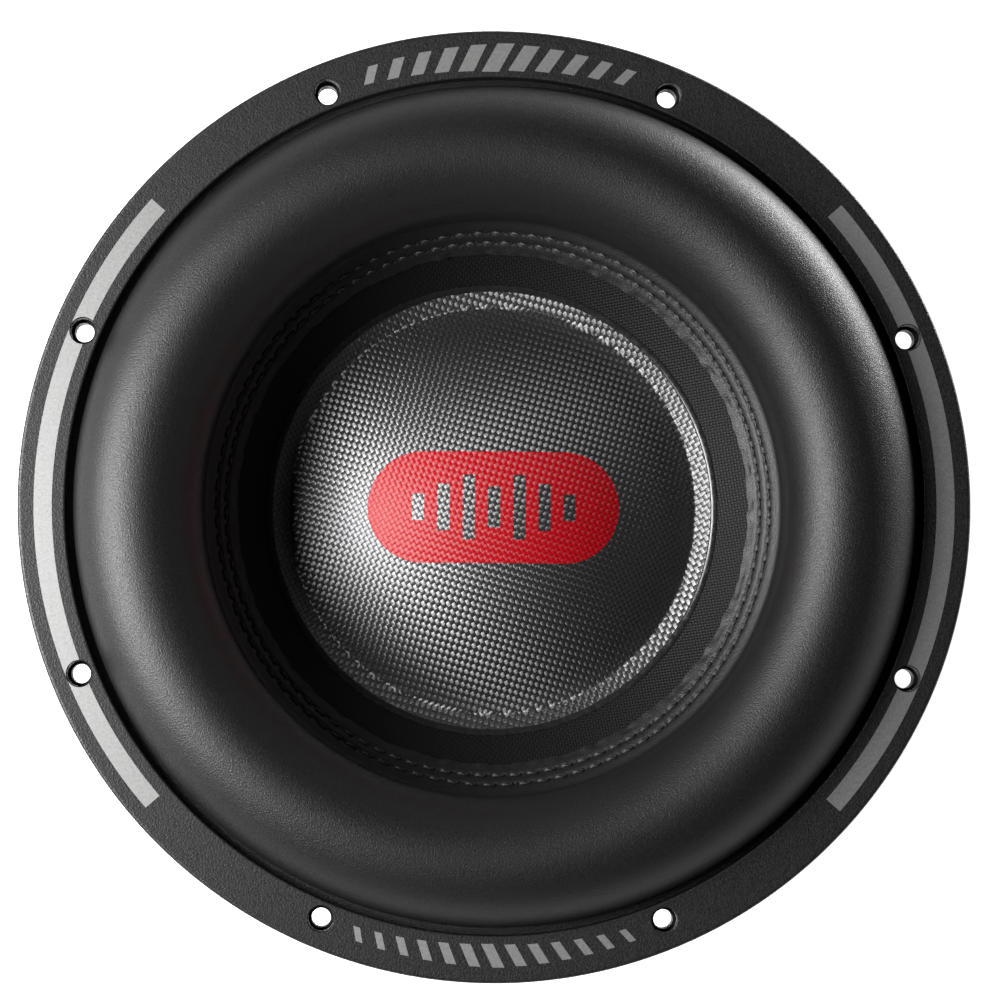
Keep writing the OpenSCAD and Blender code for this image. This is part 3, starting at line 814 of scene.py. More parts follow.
# %% Black facing cloth
FACING_PITCH = 0.97 * MM
FACING_AXES = weave_axes(math.radians(9), math.radians(99))
facing_cloth = new_material("facing_cloth", (0.02, 0.02, 0.021), 0.5, Specular_IOR_Level=0.16)
facing_relief, facing_over = weave_nodes(facing_cloth, FACING_AXES, FACING_PITCH, 0.8, 0.6)
add_bump(facing_cloth, facing_relief, 0.13 * MM)
add_bump(facing_cloth, noise(facing_cloth, 0.3 * MM, 2), 0.012 * MM)
facing_yarn = mix_colors(facing_cloth, facing_over, (0.004, 0.004, 0.0042), (0.008, 0.008, 0.0082))
# Where the weave's relief is low the colour darkens to near black: painted shade in the gaps between the
# yarns.
facing_gap_shade = remap(facing_cloth, facing_relief, 0.1, 0.8, 0, 1)
tint(facing_cloth, facing_gap_shade, (0.001, 0.001, 0.001), facing_yarn)

# %% The turned facing
FACING_T = 0.6 * MM
FACING_IN_R = 41.9 * MM
facing_rs = [FACING_IN_R + (FACING_R - FACING_IN_R) * i / 8 for i in range(9)]
facing_top = [(r, cone_height(r)) for r in facing_rs]
facing_under = [(r, cone_height(r, -FACING_T)) for r in facing_rs[::-1]]
facing = to_object(turned(facing_top + facing_under, 288), "cone_cloth", [facing_cloth])
stand_in(facing, "cone_facing")
print(f"facing: {len(facing.data.polygons)} faces")

# %% [markdown]
# ## The dust cap
#
# The cap is glass cloth in resin: glossy, coarse yarns that really stand up from the surface. Bump
# alone would leave its outline and its STL smooth, so the relief is modelled. A grid of vertices is
# laid along the yarns, three to a yarn, sheared to the angle at which the cloth was pressed, trimmed
# to the cap's circle, and lifted to the dome and the weave. The rim is then extruded round to close
# the underside.

# %% Glass cloth with a red print
CAP_PITCH = 1.54 * MM
YARN_A = math.radians(33)
YARN_B = math.radians(116.7)
CAP_AXES = weave_axes(YARN_A, YARN_B)
PRINT_HALF_W = 43 * MM
PRINT_R = 19 * MM

glass = new_material("glass_cloth", (0.25, 0.25, 0.255), 0.5, Specular_IOR_Level=0.6, Anisotropic=0.85)
glass_relief, glass_over = weave_nodes(glass, CAP_AXES, CAP_PITCH)
add_bump(glass, glass_relief, 0.16 * MM)


def yarn_direction(angle):
    return (math.cos(angle), math.sin(angle), 0.0)


across_yarns = [yarn_direction(angle + math.pi / 2) for angle in (YARN_A, YARN_B)]
link(glass, mix(glass, "VECTOR", glass_over, *across_yarns), shader_of(glass).inputs["Tangent"])
yarn_tone = mix_colors(glass, glass_over, (0.20, 0.20, 0.203), (0.18, 0.18, 0.183))
# Where the weave's relief is low the cloth darkens to near black: painted shade in the gaps between the
# yarns.
cap_gap_shade = remap(glass, glass_relief, 0.30, 0.62, 0, 1)
bare_cloth = mix_colors(glass, cap_gap_shade, (0.006, 0.006, 0.006), yarn_tone)

# %% The print: a red bar with dark level bars in it
def bar_mask(material, x, y, half_w, half_h):
    """1 inside an upright bar, worked out from two distances."""
    wide = math_node(material, "LESS_THAN", math_node(material, "ABSOLUTE", x), half_w)
    high = math_node(material, "LESS_THAN", math_node(material, "ABSOLUTE", y), half_h)
    return math_node(material, "MULTIPLY", wide, high)


cap_xyz = xyz_of(glass, place(glass))
cap_x, cap_y = cap_xyz["X"], cap_xyz["Y"]
past_x = math_node(glass, "ABSOLUTE", cap_x)
past_x = math_node(glass, "SUBTRACT", past_x, PRINT_HALF_W - PRINT_R)
past_x = math_node(glass, "MAXIMUM", past_x, 0.0)
squares = [math_node(glass, "POWER", part, 2.0) for part in (past_x, cap_y)]
from_spine = math_node(glass, "SQRT", math_node(glass, "ADD", *squares))
red_mask = math_node(glass, "LESS_THAN", from_spine, PRINT_R)
LEVELS = (4.5, 8, 11, 7, 11, 8, 4.5)
LEVEL_PITCH = 8.6 * MM
LEVEL_HALF_W = 2.1 * MM
CLOTH_METALLIC = 0.93
for i, level in enumerate(LEVELS):
    middle = (i - (len(LEVELS) - 1) / 2) * LEVEL_PITCH
    shifted = math_node(glass, "SUBTRACT", cap_x, middle)
    bar = bar_mask(glass, shifted, cap_y, LEVEL_HALF_W, level * MM)
    red_mask = math_node(glass, "MULTIPLY", red_mask, math_node(glass, "SUBTRACT", 1.0, bar))
# The red print darkens the same way in the low gaps: painted shade.
red_yarn = mix_colors(glass, cap_gap_shade, (0.12, 0.0, 0.002), (0.36, 0.001, 0.006))
tint(glass, red_mask, bare_cloth, red_yarn)
shine = remap(glass, red_mask, 0, 1, CLOTH_METALLIC, 0.0)
link(glass, shine, shader_of(glass).inputs["Metallic"])
print(f"a red bar {2 * PRINT_HALF_W / MM:.0f} x {2 * PRINT_R / MM:.0f} mm with {len(LEVELS)} level bars")

# %% The cap's surface
CAP_DOME_R = 70.2 * MM
CAP_T = 0.8 * MM
VALLEY = 0.7 * MM
CAP_RELIEF = 0.14 * MM
VERTS_PER_YARN = 3
DOME_RISE = CAP_TOP - cone_height(CAP_DOME_R, CAP_T)
DOME_R = (CAP_DOME_R**2 + DOME_RISE**2) / (2 * DOME_RISE)


def cap_height(r):
    """Top of the cap: a sphere and a flange along the cone, with a soft valley between them."""
    dome = CAP_TOP - DOME_R + math.sqrt(DOME_R**2 - r * r)
    flange = cone_height(r, CAP_T)
    return (dome + flange + math.hypot(dome - flange, VALLEY)) / 2


cells = math.ceil(2.3 * CAP_R / CAP_PITCH) * VERTS_PER_YARN
cells += cells % 2
half_grid = cells * CAP_PITCH / VERTS_PER_YARN / 2
bm = bmesh.new()
bmesh.ops.create_grid(bm, x_segments=cells, y_segments=cells, size=half_grid)
along_a, along_b = Vector(yarn_direction(YARN_A)), Vector(yarn_direction(YARN_B))
for v in bm.verts:
    v.co = along_a * v.co.x + along_b * v.co.y
outside = [v for v in bm.verts if v.co.length > CAP_R]
bmesh.ops.delete(bm, geom=outside, context="VERTS")
stubs = [v for v in bm.verts if len(v.link_faces) < 2]
bmesh.ops.delete(bm, geom=stubs, context="VERTS")
rim_verts = [v for v in bm.verts if v.is_boundary]
for v in rim_verts:
    v.co *= CAP_R / v.co.length
for v in bm.verts:
    u = v.co.x * CAP_AXES[0][0] / CAP_PITCH + v.co.y * CAP_AXES[0][1] / CAP_PITCH
    w = v.co.x * CAP_AXES[1][0] / CAP_PITCH + v.co.y * CAP_AXES[1][1] / CAP_PITCH
    r = v.co.length
    v.co.z = cap_height(r) - CAP_RELIEF * (1 - weave_height(u, w))
print(f"cap: {len(bm.faces)} faces on top, {len(rim_verts)} points round the rim")

# %% Close the cap's underside
def extrude_rim(bm, edges, radius, height):
    """One more ring of faces, whose far edge has a given radius and height."""
    made = bmesh.ops.extrude_edge_only(bm, edges=edges)["geom"]
    for v in (g for g in made if isinstance(g, bmesh.types.BMVert)):
        flat = Vector((v.co.x, v.co.y, 0)).normalized() * radius
        v.co = (flat.x, flat.y, height)
    return [g for g in made if isinstance(g, bmesh.types.BMEdge)]


loop = [e for e in bm.edges if e.is_boundary]
under_rs = [CAP_R, CAP_DOME_R] + [CAP_DOME_R * (1 - i / 6) for i in range(1, 6)]
for r in under_rs:
    loop = extrude_rim(bm, loop, r, cap_height(r) - CAP_T / math.cos(CONE_TILT))
bmesh.ops.edgeloop_fill(bm, edges=loop)
bmesh.ops.recalc_face_normals(bm, faces=bm.faces)
cap = to_object(bm, "woven_dust_cap", [glass], sharp=70)
stand_in(cap, "dust_cap")
print(f"cap: {len(cap.data.polygons)} faces, closed")

# %% [markdown]
# ## The glue round the cap
#
# A bead of black glue is run round the cap's rim and wiped flat. It is glossy, a little uneven, and
# its outer edge catches the light as a thin line.

# %% Glue
glue = new_material("black_glue", (0.010, 0.010, 0.010), 0.22, Specular_IOR_Level=0.5)
add_bump(glue, noise(glue, 3 * MM, 2), 0.12 * MM, 0.6)
gloss_range(glue, noise(glue, 2 * MM, 2), 0.16, 0.34)

BEAD_IN_R = CAP_R - 0.25 * MM
BEAD_OUT_R = CAP_R + 2 * MM
bead_outline = [
    (BEAD_IN_R, 0.4 * MM), (BEAD_IN_R, 0.95 * MM), (BEAD_IN_R + 0.35 * MM, 1.05 * MM),
    (CAP_R + 0.9 * MM, 0.66 * MM), (BEAD_OUT_R - 0.35 * MM, 0.42 * MM),
    (BEAD_OUT_R - 0.08 * MM, 0.24 * MM), (BEAD_OUT_R, 0.01 * MM),
]
bead_section = [(r, cone_height(r, above)) for r, above in bead_outline]
bead = to_object(turned(bead_section, 360), "cap_glue_ring", [glue], sharp=50)
stand_in(bead, "cap_glue_bead")
print(f"glue ring: {len(bead.data.polygons)} faces")

# %% [markdown]
# ## Castings, mouldings and turned parts
#
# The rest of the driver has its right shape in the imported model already. What it lacks is what every
# real edge has: a small radius that catches the light. Each of those nodes is copied, its triangles
# are merged back into whole faces, and its sharp edges get a narrow bevel. One helper does it all.

# %% Copy a node and round its edges
def merged_copy(name, material):
    """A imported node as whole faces: its loose triangles are merged and flat ones joined."""
    bm = bmesh.new()
    bm.from_mesh(frame["nodes"][name].data)
    bmesh.ops.remove_doubles(bm, verts=bm.verts, dist=0.004 * MM)
    bmesh.ops.dissolve_limit(
        bm, angle_limit=math.radians(0.7), verts=bm.verts, edges=bm.edges, delimit={"NORMAL"}
    )
    bmesh.ops.recalc_face_normals(bm, faces=bm.faces)
    return to_object(bm, f"{name}_finished", [material], sharp=33)


def round_edges(piece, width, segments=2):
    bevel = piece.modifiers.new("rounded_edges", "BEVEL")
    bevel.width = width
    bevel.segments = segments
    bevel.limit_method = "ANGLE"
    bevel.angle_limit = math.radians(38)
    bevel.harden_normals = True


def softened(name, material, width, segments=2):
    piece = merged_copy(name, material)
    round_edges(piece, width, segments)
    stand_in(piece, name)
    return piece


print("edge helpers ready")

# %% [markdown]
# ## The basket and its gasket
#
# The basket is a die casting with a black powder coat, coarser than the ring's. It is the largest
# thing behind the baffle, so its ribs and windows get rounded edges as a casting has. The gasket under
# the flange is a band of closed-cell foam.

# %% Coarse powder coat
basket_coat = new_material("basket_coat", (0.008, 0.008, 0.0082), 0.45, Specular_IOR_Level=0.35)
add_bump(basket_coat, noise(basket_coat, 0.9 * MM, 3), 0.05 * MM)
add_bump(basket_coat, noise(basket_coat, 4 * MM, 2), 0.04 * MM)
gloss_range(basket_coat, noise(basket_coat, 1.2 * MM, 2), 0.44, 0.54)
basket_wear = remap(basket_coat, noise(basket_coat, 30 * MM, 3), 0.45, 0.7, 0, 1)
tint(basket_coat, basket_wear, (0.006, 0.006, 0.0062), (0.013, 0.013, 0.0133))
softened("basket", basket_coat, 0.7 * MM)

# %% Closed-cell foam
def cell_pattern(material, size):
    """Distance to the middle of the nearest cell."""
    return texture_at(material, "ShaderNodeTexVoronoi", scaled_place(material, size), "Distance")


foam = new_material("gasket_foam", (0.018, 0.018, 0.019), 0.85)
foam_cells = cell_pattern(foam, 0.5 * MM)
add_bump(foam, foam_cells, 0.12 * MM)
tint(foam, foam_cells, (0.008, 0.008, 0.0085), (0.035, 0.035, 0.036))
softened("mounting_gasket", foam, 0.35 * MM)
print("basket and gasket finished")

# %% [markdown]
# ## The motor
#
# Two grey ferrite rings lie between steel plates. The plates are turned and zinc plated, so they show
# fine concentric marks and a faint change of colour. To draw marks round the axis, a noise is read on
# the distance from the axis and the height, instead of on x, y and z. A rubber sleeve with grooves
# covers the magnets.

# %% Marks left by turning
def turning_marks(material, pitch):
    """Noise that changes with the distance from the axis and with the height, but not around."""
    xyz = xyz_of(material, place(material))
    squares = [math_node(material, "POWER", xyz[axis], 2.0) for axis in ("X", "Y")]
    radius = math_node(material, "SQRT", math_node(material, "ADD", *squares))
    ringed = node(material, "ShaderNodeCombineXYZ")
    link(material, math_node(material, "MULTIPLY", radius, 1 / pitch), ringed.inputs["X"])
    link(material, math_node(material, "MULTIPLY", xyz["Z"], 1 / pitch), ringed.inputs["Y"])
    return texture_at(material, "ShaderNodeTexNoise", ringed.outputs[0], "Fac", Detail=2.0)


zinc = new_material("zinc_plated_steel", (0.48, 0.48, 0.49), 0.34, 1.0)
zinc_marks = turning_marks(zinc, 0.5 * MM)
add_bump(zinc, zinc_marks, 0.03 * MM)
gloss_range(zinc, zinc_marks, 0.27, 0.42)
zinc_haze = remap(zinc, noise(zinc, 22 * MM, 3), 0.35, 0.65, 0, 1)
tint(zinc, zinc_haze, (0.23, 0.235, 0.245), (0.28, 0.27, 0.235))
softened("top_plate", zinc, 0.3 * MM)
softened("t_yoke", zinc, 0.4 * MM)

# %% Ferrite, and the aluminium shorting ring
ferrite = new_material("ferrite", (0.055, 0.055, 0.058), 0.55)
add_bump(ferrite, noise(ferrite, 0.35 * MM, 3), 0.03 * MM)
add_bump(ferrite, noise(ferrite, 5 * MM, 3), 0.12 * MM)
gloss_range(ferrite, noise(ferrite, 1.5 * MM, 3), 0.48, 0.62)
ferrite_specks = remap(ferrite, noise(ferrite, 1.2 * MM, 3), 0.4, 0.65, 0, 1)
tint(ferrite, ferrite_specks, (0.035, 0.035, 0.037), (0.085, 0.085, 0.088))
softened("front_magnet", ferrite, 0.6 * MM)
softened("rear_magnet", ferrite, 0.6 * MM)

aluminium = new_material("turned_aluminium", (0.80, 0.80, 0.81), 0.28, 1.0)
aluminium_marks = turning_marks(aluminium, 0.35 * MM)
add_bump(aluminium, aluminium_marks, 0.02 * MM)
gloss_range(aluminium, aluminium_marks, 0.2, 0.36)
softened("shorting_ring", aluminium, 0.3 * MM)

# %% The rubber sleeve round the magnets
sleeve_rubber = new_material("sleeve_rubber", (0.008, 0.008, 0.008), 0.55, Specular_IOR_Level=0.35)
add_bump(sleeve_rubber, noise(sleeve_rubber, 0.7 * MM, 2), 0.03 * MM)
gloss_range(sleeve_rubber, noise(sleeve_rubber, 1.5 * MM, 3), 0.52, 0.62)
sleeve_dust = remap(sleeve_rubber, noise(sleeve_rubber, 14 * MM, 4), 0.45, 0.75, 0, 1)
tint(sleeve_rubber, sleeve_dust, (0.006, 0.006, 0.006), (0.010, 0.010, 0.0103))
boot_low, boot_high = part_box("magnet_boot")
PLATE_GRIP_R = 95.2 * MM
MAGNET_CLEAR_R = 100.1 * MM
GRIP_T = 5.9 * MM
BOOT_EDGE = 1.6 * MM
GROOVE_PITCH = 8 * MM
GROOVE_DEPTH = 1.0 * MM
BOOT_R = boot_high[0]
boot_middle = (boot_low[2] + boot_high[2]) / 2
groove_count = int((boot_high[2] - boot_low[2] - GROOVE_PITCH) / GROOVE_PITCH)
boot_section = [(PLATE_GRIP_R, boot_low[2])]
boot_section += arc((BOOT_R - BOOT_EDGE, boot_low[2] + BOOT_EDGE), BOOT_EDGE, -90, 0, 4)
for i in range(groove_count + 1):
    groove_z = boot_middle + (i - groove_count / 2) * GROOVE_PITCH
    half_groove = ((0, 1.5 * MM), (0.3 * MM, 1.2 * MM), (GROOVE_DEPTH, 0.6 * MM))
    boot_section += [(BOOT_R - deep, groove_z - away) for deep, away in half_groove]
    boot_section += [(BOOT_R - deep, groove_z + away) for deep, away in half_groove[::-1]]
boot_section += arc((BOOT_R - BOOT_EDGE, boot_high[2] - BOOT_EDGE), BOOT_EDGE, 0, 90, 4)
boot_section += [(PLATE_GRIP_R, boot_high[2]), (PLATE_GRIP_R, boot_high[2] - GRIP_T)]
boot_section += [(MAGNET_CLEAR_R, boot_high[2] - GRIP_T), (MAGNET_CLEAR_R, boot_low[2] + GRIP_T)]
boot_section += [(PLATE_GRIP_R, boot_low[2] + GRIP_T)]
boot = to_object(turned(boot_section, 180), "magnet_sleeve", [sleeve_rubber])
stand_in(boot, "magnet_boot")
print(f"sleeve: {groove_count + 1} grooves, {len(boot.data.polygons)} faces")

# %% The vent screen and the motor bolts
screen_paint = new_material("screen_paint", (0.02, 0.02, 0.02), 0.4)
add_bump(screen_paint, noise(screen_paint, 0.5 * MM, 2), 0.02 * MM)
gloss_range(screen_paint, noise(screen_paint, 1.5 * MM, 2), 0.32, 0.48)
softened("vent_screen", screen_paint, 0.12 * MM)

black_oxide = new_material("black_oxide", (0.03, 0.03, 0.033), 0.38, 0.7)
add_bump(black_oxide, noise(black_oxide, 0.3 * MM, 2), 0.01 * MM)
gloss_range(black_oxide, noise(black_oxide, 2 * MM, 3), 0.3, 0.5)
tint(black_oxide, noise(black_oxide, 3 * MM, 3), (0.02, 0.02, 0.023), (0.055, 0.05, 0.048))
softened("motor_bolts", black_oxide, 0.25 * MM)
print("motor finished")

# %% [markdown]
# ## The voice coil and what carries it
#
# The coil is four layers of enamelled copper wire on a brown film former, with a paper collar where
# the spiders are glued. All of them are plain tubes, and their detail is in their surface: turns of
# wire every half millimetre, the smooth gloss of film, and the fibres of paper.

# %% Bands along the axis
def bands(material, pitch):
    """A soft wave up the axis, one crest to a pitch, from 0 to 1."""
    height = xyz_of(material, place(material))["Z"]
    wave = math_node(material, "SINE", math_node(material, "MULTIPLY", height, TURN / pitch))
    return remap(material, wave, -1, 1, 0, 1)


copper = new_material("enamelled_copper", (0.60, 0.22, 0.08), 0.28, 1.0, Coat_Weight=0.6)
wire_turns = bands(copper, 0.55 * MM)
add_bump(copper, wire_turns, 0.16 * MM)
tint(copper, noise(copper, 6 * MM, 2), (0.42, 0.13, 0.04), (0.70, 0.28, 0.11))
softened("voice_coil", copper, 0.2 * MM)

film = new_material("former_film", (0.23, 0.10, 0.025), 0.2, Coat_Weight=0.5)
add_bump(film, noise(film, 2 * MM, 2), 0.02 * MM)
gloss_range(film, noise(film, 5 * MM, 2), 0.16, 0.28)
tint(film, noise(film, 9 * MM, 2), (0.17, 0.07, 0.018), (0.28, 0.13, 0.035))
softened("coil_former", film, 0.1 * MM)

paper = new_material("collar_paper", (0.42, 0.31, 0.18), 0.8)
fibres = noise(paper, 0.4 * MM, 3, stretch=(3, 3, 1))
add_bump(paper, fibres, 0.04 * MM)
tint(paper, fibres, (0.33, 0.23, 0.12), (0.52, 0.40, 0.25))
softened("former_collar", paper, 0.1 * MM)

# %% The pulp cone and the glue at its neck
pulp = new_material("cone_pulp", (0.016, 0.016, 0.016), 0.85)
pulp_fibres = noise(pulp, 0.6 * MM, 4, stretch=(1, 2.5, 1))
add_bump(pulp, pulp_fibres, 0.1 * MM)
add_bump(pulp, noise(pulp, 4 * MM, 3), 0.2 * MM)
tint(pulp, remap(pulp, pulp_fibres, 0.35, 0.65, 0, 1), (0.009, 0.009, 0.009), (0.035, 0.034, 0.033))
CONE_T = 2 * MM
CONE_NECK_R = 38 * MM
cone_rs = (CONE_NECK_R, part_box("cone")[1][0])
cone_section = [(r, cone_height(r, -FACING_T - CONE_T)) for r in cone_rs]
cone_section += [(r, cone_height(r, -FACING_T)) for r in cone_rs[::-1]]
cone_body = to_object(turned(cone_section, 240), "pulp_cone", [pulp])
stand_in(cone_body, "cone")
softened("neck_glue_fillet", glue, 0.15 * MM)
print("coil, former and cone finished")

# %% [markdown]
# ## The spiders
#
# Two discs of cloth, stiffened with resin and pressed into rings, keep the coil in the middle. They
# flex with the stroke as the surround does, so they are turned from a wavy section and then blended by
# radius. The flat edge needs a corner where the spacer begins: without one its whole width tilts with
# the first roll and cuts through the spacer. The cloth is a coarse plain weave, dark honey in colour.

# %% Resin cloth
honey = new_material("spider_cloth", (0.36, 0.20, 0.05), 0.55)
honey_axes = weave_axes(math.radians(0), math.radians(90))
honey_relief, honey_over = weave_nodes(honey, honey_axes, 0.8 * MM, 0.7, 0.6)
add_bump(honey, honey_relief, 0.14 * MM)
honey_yarn = mix_colors(honey, honey_over, (0.36, 0.20, 0.05), (0.44, 0.26, 0.08))
# Where the weave's relief is low the colour darkens: painted shade in the gaps between the yarns.
honey_gap_shade = remap(honey, honey_relief, 0.1, 0.7, 0, 1)
tint(honey, honey_gap_shade, (0.10, 0.05, 0.01), honey_yarn)
gloss_range(honey, noise(honey, 8 * MM, 2), 0.4, 0.62)

# %% Pressed rings
SPIDER_T = 0.8 * MM
SPIDER_FLAT = 0.8 * MM
SPIDER_WAVE = 2.5 * MM
SPIDER_ROLLS = 5
STEPS_PER_ROLL = 12
LANDING_W = 8 * MM
landing_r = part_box("spider_spacer")[1][0]
shelf_r = landing_r - LANDING_W
collar_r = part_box("former_collar")[1][0]


def spider(name):
    """A wavy disc whose flat outer edge lies on its landing."""
    low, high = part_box(name)
    middle = (low[2] + high[2]) / 2
    first_r, last_r = collar_r + SPIDER_FLAT, shelf_r - SPIDER_FLAT
    path = [(collar_r, middle)]
    for i in range(SPIDER_ROLLS * STEPS_PER_ROLL + 1):
        share = i / (SPIDER_ROLLS * STEPS_PER_ROLL)
        wave = SPIDER_WAVE * math.sin(TURN * SPIDER_ROLLS * share)
        path.append((first_r + (last_r - first_r) * share, middle + wave))
    path += [(shelf_r, middle), (landing_r, middle)]
    top, under = band_section(path, SPIDER_T)
    piece = to_object(turned(under[::-1] + top, 160), f"{name}_cloth", [honey], sharp=60)
    blend_by_radius(piece, shelf_r, collar_r + 2 * MM)
    stand_in(piece, name, rides=False)
    return piece


for name in ("upper_spider", "lower_spider"):
    made = spider(name)
    print(f"{name}: {len(made.data.polygons)} faces")

# %% The spacer between the spiders
spacer_plastic = new_material("spacer_plastic", (0.010, 0.010, 0.010), 0.5, Specular_IOR_Level=0.4)
add_bump(spacer_plastic, noise(spacer_plastic, 0.6 * MM, 2), 0.02 * MM)
gloss_range(spacer_plastic, noise(spacer_plastic, 3 * MM, 2), 0.42, 0.58)
softened("spider_spacer", spacer_plastic, 0.3 * MM)
print("suspension finished")

# %% [markdown]
# ## The terminals
#
# Each end of the dual coil has a moulded block with two push buttons, a red and a black one, over a
# gold-plated contact and a spring. Moulded nylon has a fine spark-eroded texture, the buttons are
# glossier, and the screws are zinc plated with a cross recess, cut by a Boolean.

# %% Nylon, gold, and the buttons' two plastics
nylon = new_material("block_nylon", (0.010, 0.010, 0.0105), 0.5, Specular_IOR_Level=0.4)
nylon_grain = noise(nylon, 0.35 * MM, 2)
add_bump(nylon, nylon_grain, 0.03 * MM)
gloss_range(nylon, nylon_grain, 0.42, 0.58)
gold = new_material("contact_gold", (0.86, 0.60, 0.22), 0.2, 1.0)
gold_brushing = noise(gold, 0.25 * MM, 2, stretch=(1, 1, 12))
add_bump(gold, gold_brushing, 0.01 * MM)
gloss_range(gold, gold_brushing, 0.14, 0.28)
for block in ("coil_a", "coil_b"):
    softened(f"{block}_terminal_block", nylon, 0.5 * MM)
    softened(f"{block}_contacts", gold, 0.15 * MM)


def button_plastic(name, color):
    plastic = new_material(name, color, 0.26)
    grip = noise(plastic, 0.5 * MM, 2)
    add_bump(plastic, grip, 0.012 * MM)
    gloss_range(plastic, grip, 0.2, 0.34)
    darker = tuple(0.75 * c for c in color)
    tint(plastic, noise(plastic, 4 * MM, 2), darker, color)
    return plastic


button_red = button_plastic("button_red", (0.52, 0.012, 0.016))
button_black = button_plastic("button_black", (0.02, 0.02, 0.021))
for block in ("coil_a", "coil_b"):
    softened(f"{block}_plus_button", button_red, 0.7 * MM, 3)
    softened(f"{block}_minus_button", button_black, 0.7 * MM, 3)
print("blocks, contacts and buttons finished")

# %% Screws with a cross recess
screw_zinc = new_material("screw_zinc", (0.60, 0.60, 0.62), 0.3, 1.0)
add_bump(screw_zinc, noise(screw_zinc, 0.4 * MM, 2), 0.01 * MM)
gloss_range(screw_zinc, noise(screw_zinc, 1.5 * MM, 2), 0.22, 0.38)
screw_low, screw_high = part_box("terminal_screws")
SCREW_HEAD_R = 2.8 * MM
SCREW_X = screw_high[0] - SCREW_HEAD_R
SCREW_Z = (screw_low[2] + screw_high[2]) / 2
RECESS_DEPTH = 1.2 * MM
RECESS_LONG = 3 * MM
RECESS_WIDE = 0.7 * MM
screws = merged_copy("terminal_screws", screw_zinc)
for long_side, short_side in ((RECESS_LONG, RECESS_WIDE), (RECESS_WIDE, RECESS_LONG)):
    bm = bmesh.new()
    size = Matrix.Diagonal((long_side, 2 * RECESS_DEPTH, short_side, 1))
    for x in (-SCREW_X, SCREW_X):
        for y in (screw_low[1], screw_high[1]):
            at = Matrix.Translation((x, y, SCREW_Z))
            bmesh.ops.create_cube(bm, size=1, matrix=at @ size)
    cut(screws, to_object(bm, "recess_cutter", []))
round_edges(screws, 0.12 * MM)
stand_in(screws, "terminal_screws")
print(f"screws: {len(screws.data.polygons)} faces")

# %% [markdown]
# ## Springs and tinsel leads
#
# Both are wire, so both start as a curve with a round bevel, which is then made a mesh. A button's
# spring is a helix that fills its node's box. A tinsel lead is three twisted strands of copper braid.
# It spans the way from its contact to the coil's former, and as drawn it stops about a millimetre
# short at either end. It is still at the contact and moves with the cone at the former, so it is
# blended along Y.

# %% A mesh from wires
def wire_mesh(name, lines, radius, material):
    """Round wires along lists of points, as one mesh object."""
    curve = bpy.data.curves.new(name, "CURVE")
    curve.dimensions = "3D"
    curve.bevel_depth = radius
    curve.bevel_resolution = 2
    curve.use_fill_caps = True
    for line in lines:
        spline = curve.splines.new("POLY")
        spline.points.add(len(line) - 1)
        for point, place_at in zip(spline.points, line):
            point.co = (*place_at, 1)
    holder = bpy.data.objects.new(name, curve)
    scene.collection.objects.link(holder)
    graph = bpy.context.evaluated_depsgraph_get()
    mesh = bpy.data.meshes.new_from_object(holder.evaluated_get(graph))
    bpy.data.objects.remove(holder)
    bm = bmesh.new()
    bm.from_mesh(mesh)
    bmesh.ops.remove_doubles(bm, verts=bm.verts, dist=0.001 * MM)
    bmesh.ops.recalc_face_normals(bm, faces=bm.faces)
    return to_object(bm, name, [material], sharp=50)


spring_steel = new_material("spring_steel", (0.55, 0.55, 0.57), 0.25, 1.0)
add_bump(spring_steel, noise(spring_steel, 0.2 * MM, 2), 0.006 * MM)
gloss_range(spring_steel, noise(spring_steel, 1 * MM, 2), 0.18, 0.32)

# %% Button springs
TERMINALS = ("coil_a_plus", "coil_a_minus", "coil_b_plus", "coil_b_minus")
SPRING_WIRE_R = 0.35 * MM
SPRING_TURNS = 4
SPRING_STEPS = 24

for button in TERMINALS:
    low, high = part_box(f"{button}_spring")
    middle = (low + high) / 2
    coil_radius = (high[0] - low[0]) / 2 - SPRING_WIRE_R
    bottom, top = low[2] + SPRING_WIRE_R, high[2] - SPRING_WIRE_R
    helix = []
    for i in range(SPRING_TURNS * SPRING_STEPS + 1):
        share = i / (SPRING_TURNS * SPRING_STEPS)
        eased = share + 0.09 * math.sin(TURN * share) / 2
        angle = TURN * SPRING_TURNS * share
        helix.append((
            middle[0] + coil_radius * math.cos(angle),
            middle[1] + coil_radius * math.sin(angle),
            bottom + (top - bottom) * (share * 2 - eased),
        ))
    spring = wire_mesh(f"{button}_spring_wire", [helix], SPRING_WIRE_R, spring_steel)
    stand_in(spring, f"{button}_spring")
    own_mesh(spring)
print(f"four springs of {SPRING_TURNS} turns")

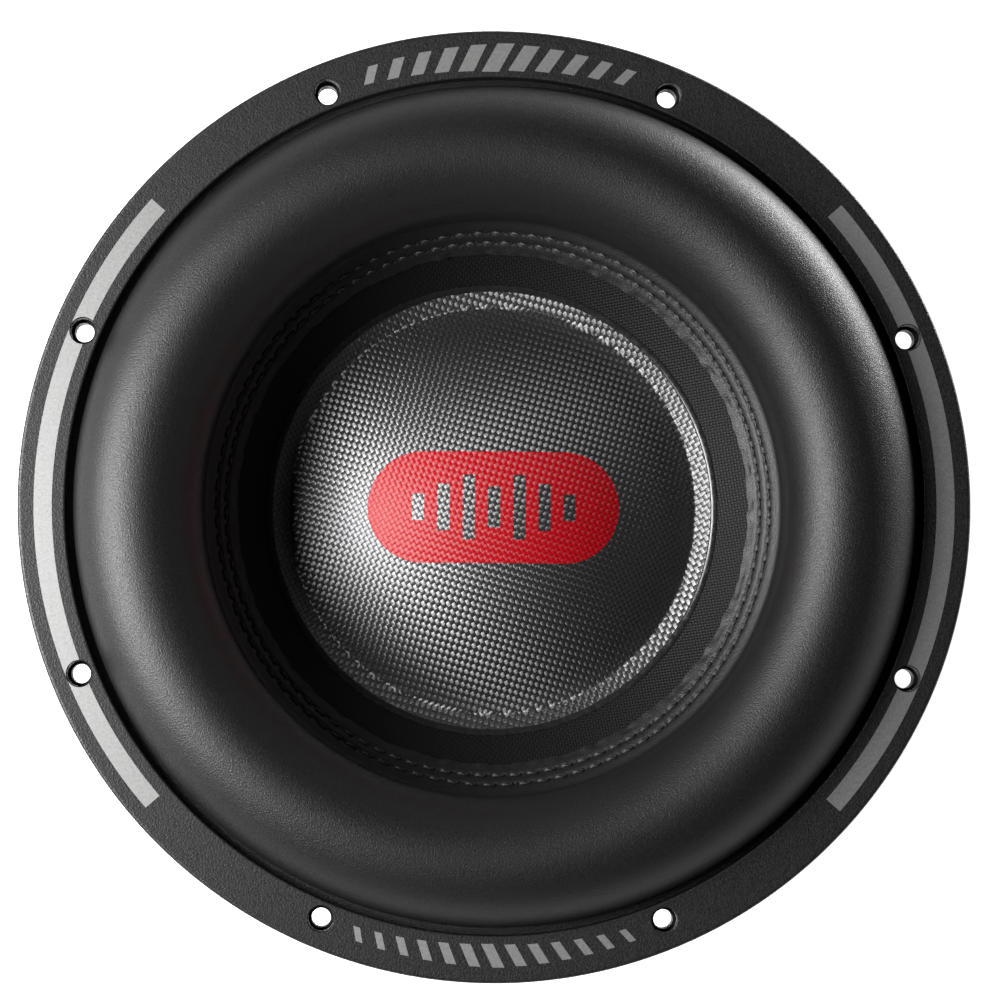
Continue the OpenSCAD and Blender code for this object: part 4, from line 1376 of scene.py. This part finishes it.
# %% Tinsel leads
tinsel = new_material("tinsel_braid", (0.66, 0.34, 0.17), 0.38, 1.0)
braid = noise(tinsel, 0.35 * MM, 2, stretch=(1, 2, 1))
add_bump(tinsel, braid, 0.08 * MM)
tint(tinsel, remap(tinsel, braid, 0.35, 0.65, 0, 1), (0.36, 0.16, 0.07), (0.78, 0.45, 0.25))
LEAD_ROUTE = [
    (97.2, -61), (94.5, -59.8), (91, -57.8), (87, -55.6), (82, -53.4), (76, -51.8), (70, -51.2),
    (64, -51.6), (58, -53), (53, -55), (49, -56.9), (45.5, -58.2), (42.5, -58.7), (39.6, -58.7),
]
STRAND_R = 0.6 * MM
STRAND_OUT = 0.6 * MM
LEAD_TWISTS = 9
LEAD_STEPS = 150
LEAD_FIXED = 95.5 * MM
LEAD_FREE = 41 * MM


def smooth_point(points, t):
    """A point on the smooth curve through a list of points, t from 0 to 1."""
    span = t * (len(points) - 1)
    i = min(int(span), len(points) - 2)
    f = span - i
    p = [Vector(points[min(max(i + k, 0), len(points) - 1)]) for k in (-1, 0, 1, 2)]
    a = 2 * p[1]
    b = p[2] - p[0]
    c = 2 * p[0] - 5 * p[1] + 4 * p[2] - p[3]
    d = 3 * p[1] - p[0] - 3 * p[2] + p[3]
    return (a + b * f + c * f * f + d * f**3) / 2


for lead in TERMINALS:
    low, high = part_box(f"{lead}_lead")
    x = (low[0] + high[0]) / 2
    side = 1 if high[1] > 0 else -1
    strands = []
    for strand in range(3):
        line = []
        for i in range(LEAD_STEPS + 1):
            t = i / LEAD_STEPS
            y, z = smooth_point(LEAD_ROUTE, t) * MM
            turn = TURN * (strand / 3 + LEAD_TWISTS * t)
            line.append((
                x + STRAND_OUT * math.cos(turn), side * y, z + STRAND_OUT * math.sin(turn),
            ))
        strands.append(line)
    braid_piece = wire_mesh(f"{lead}_lead_braid", strands, STRAND_R, tinsel)
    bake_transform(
        braid_piece, "driver_frame", "moving_cone",
        start=(x, side * LEAD_FIXED, low[2]), end=(x, side * LEAD_FREE, low[2]),
    )
    stand_in(braid_piece, f"{lead}_lead", rides=False)
print(f"four leads of three strands, {LEAD_TWISTS} twists each")

# %% [markdown]
# ## The floor
#
# A pale floor under the magnet, five metres wide. It glows, like paper lit from below, so that the
# driver is cut out cleanly against it.

# %% Pale floor
floor_paint = new_material("pale_floor", (0.82, 0.82, 0.82), 0.7)
shader_of(floor_paint).inputs["Emission Color"].default_value = (1, 1, 1, 1)
shader_of(floor_paint).inputs["Emission Strength"].default_value = 0.85
bm = bmesh.new()
bmesh.ops.create_grid(bm, x_segments=1, y_segments=1, size=2.5)
bmesh.ops.translate(bm, verts=bm.verts, vec=(0, 0, CAD_BOX[0][2] - 0.3 * MM))
floor = to_object(bm, "floor", [floor_paint])
print("floor ready")
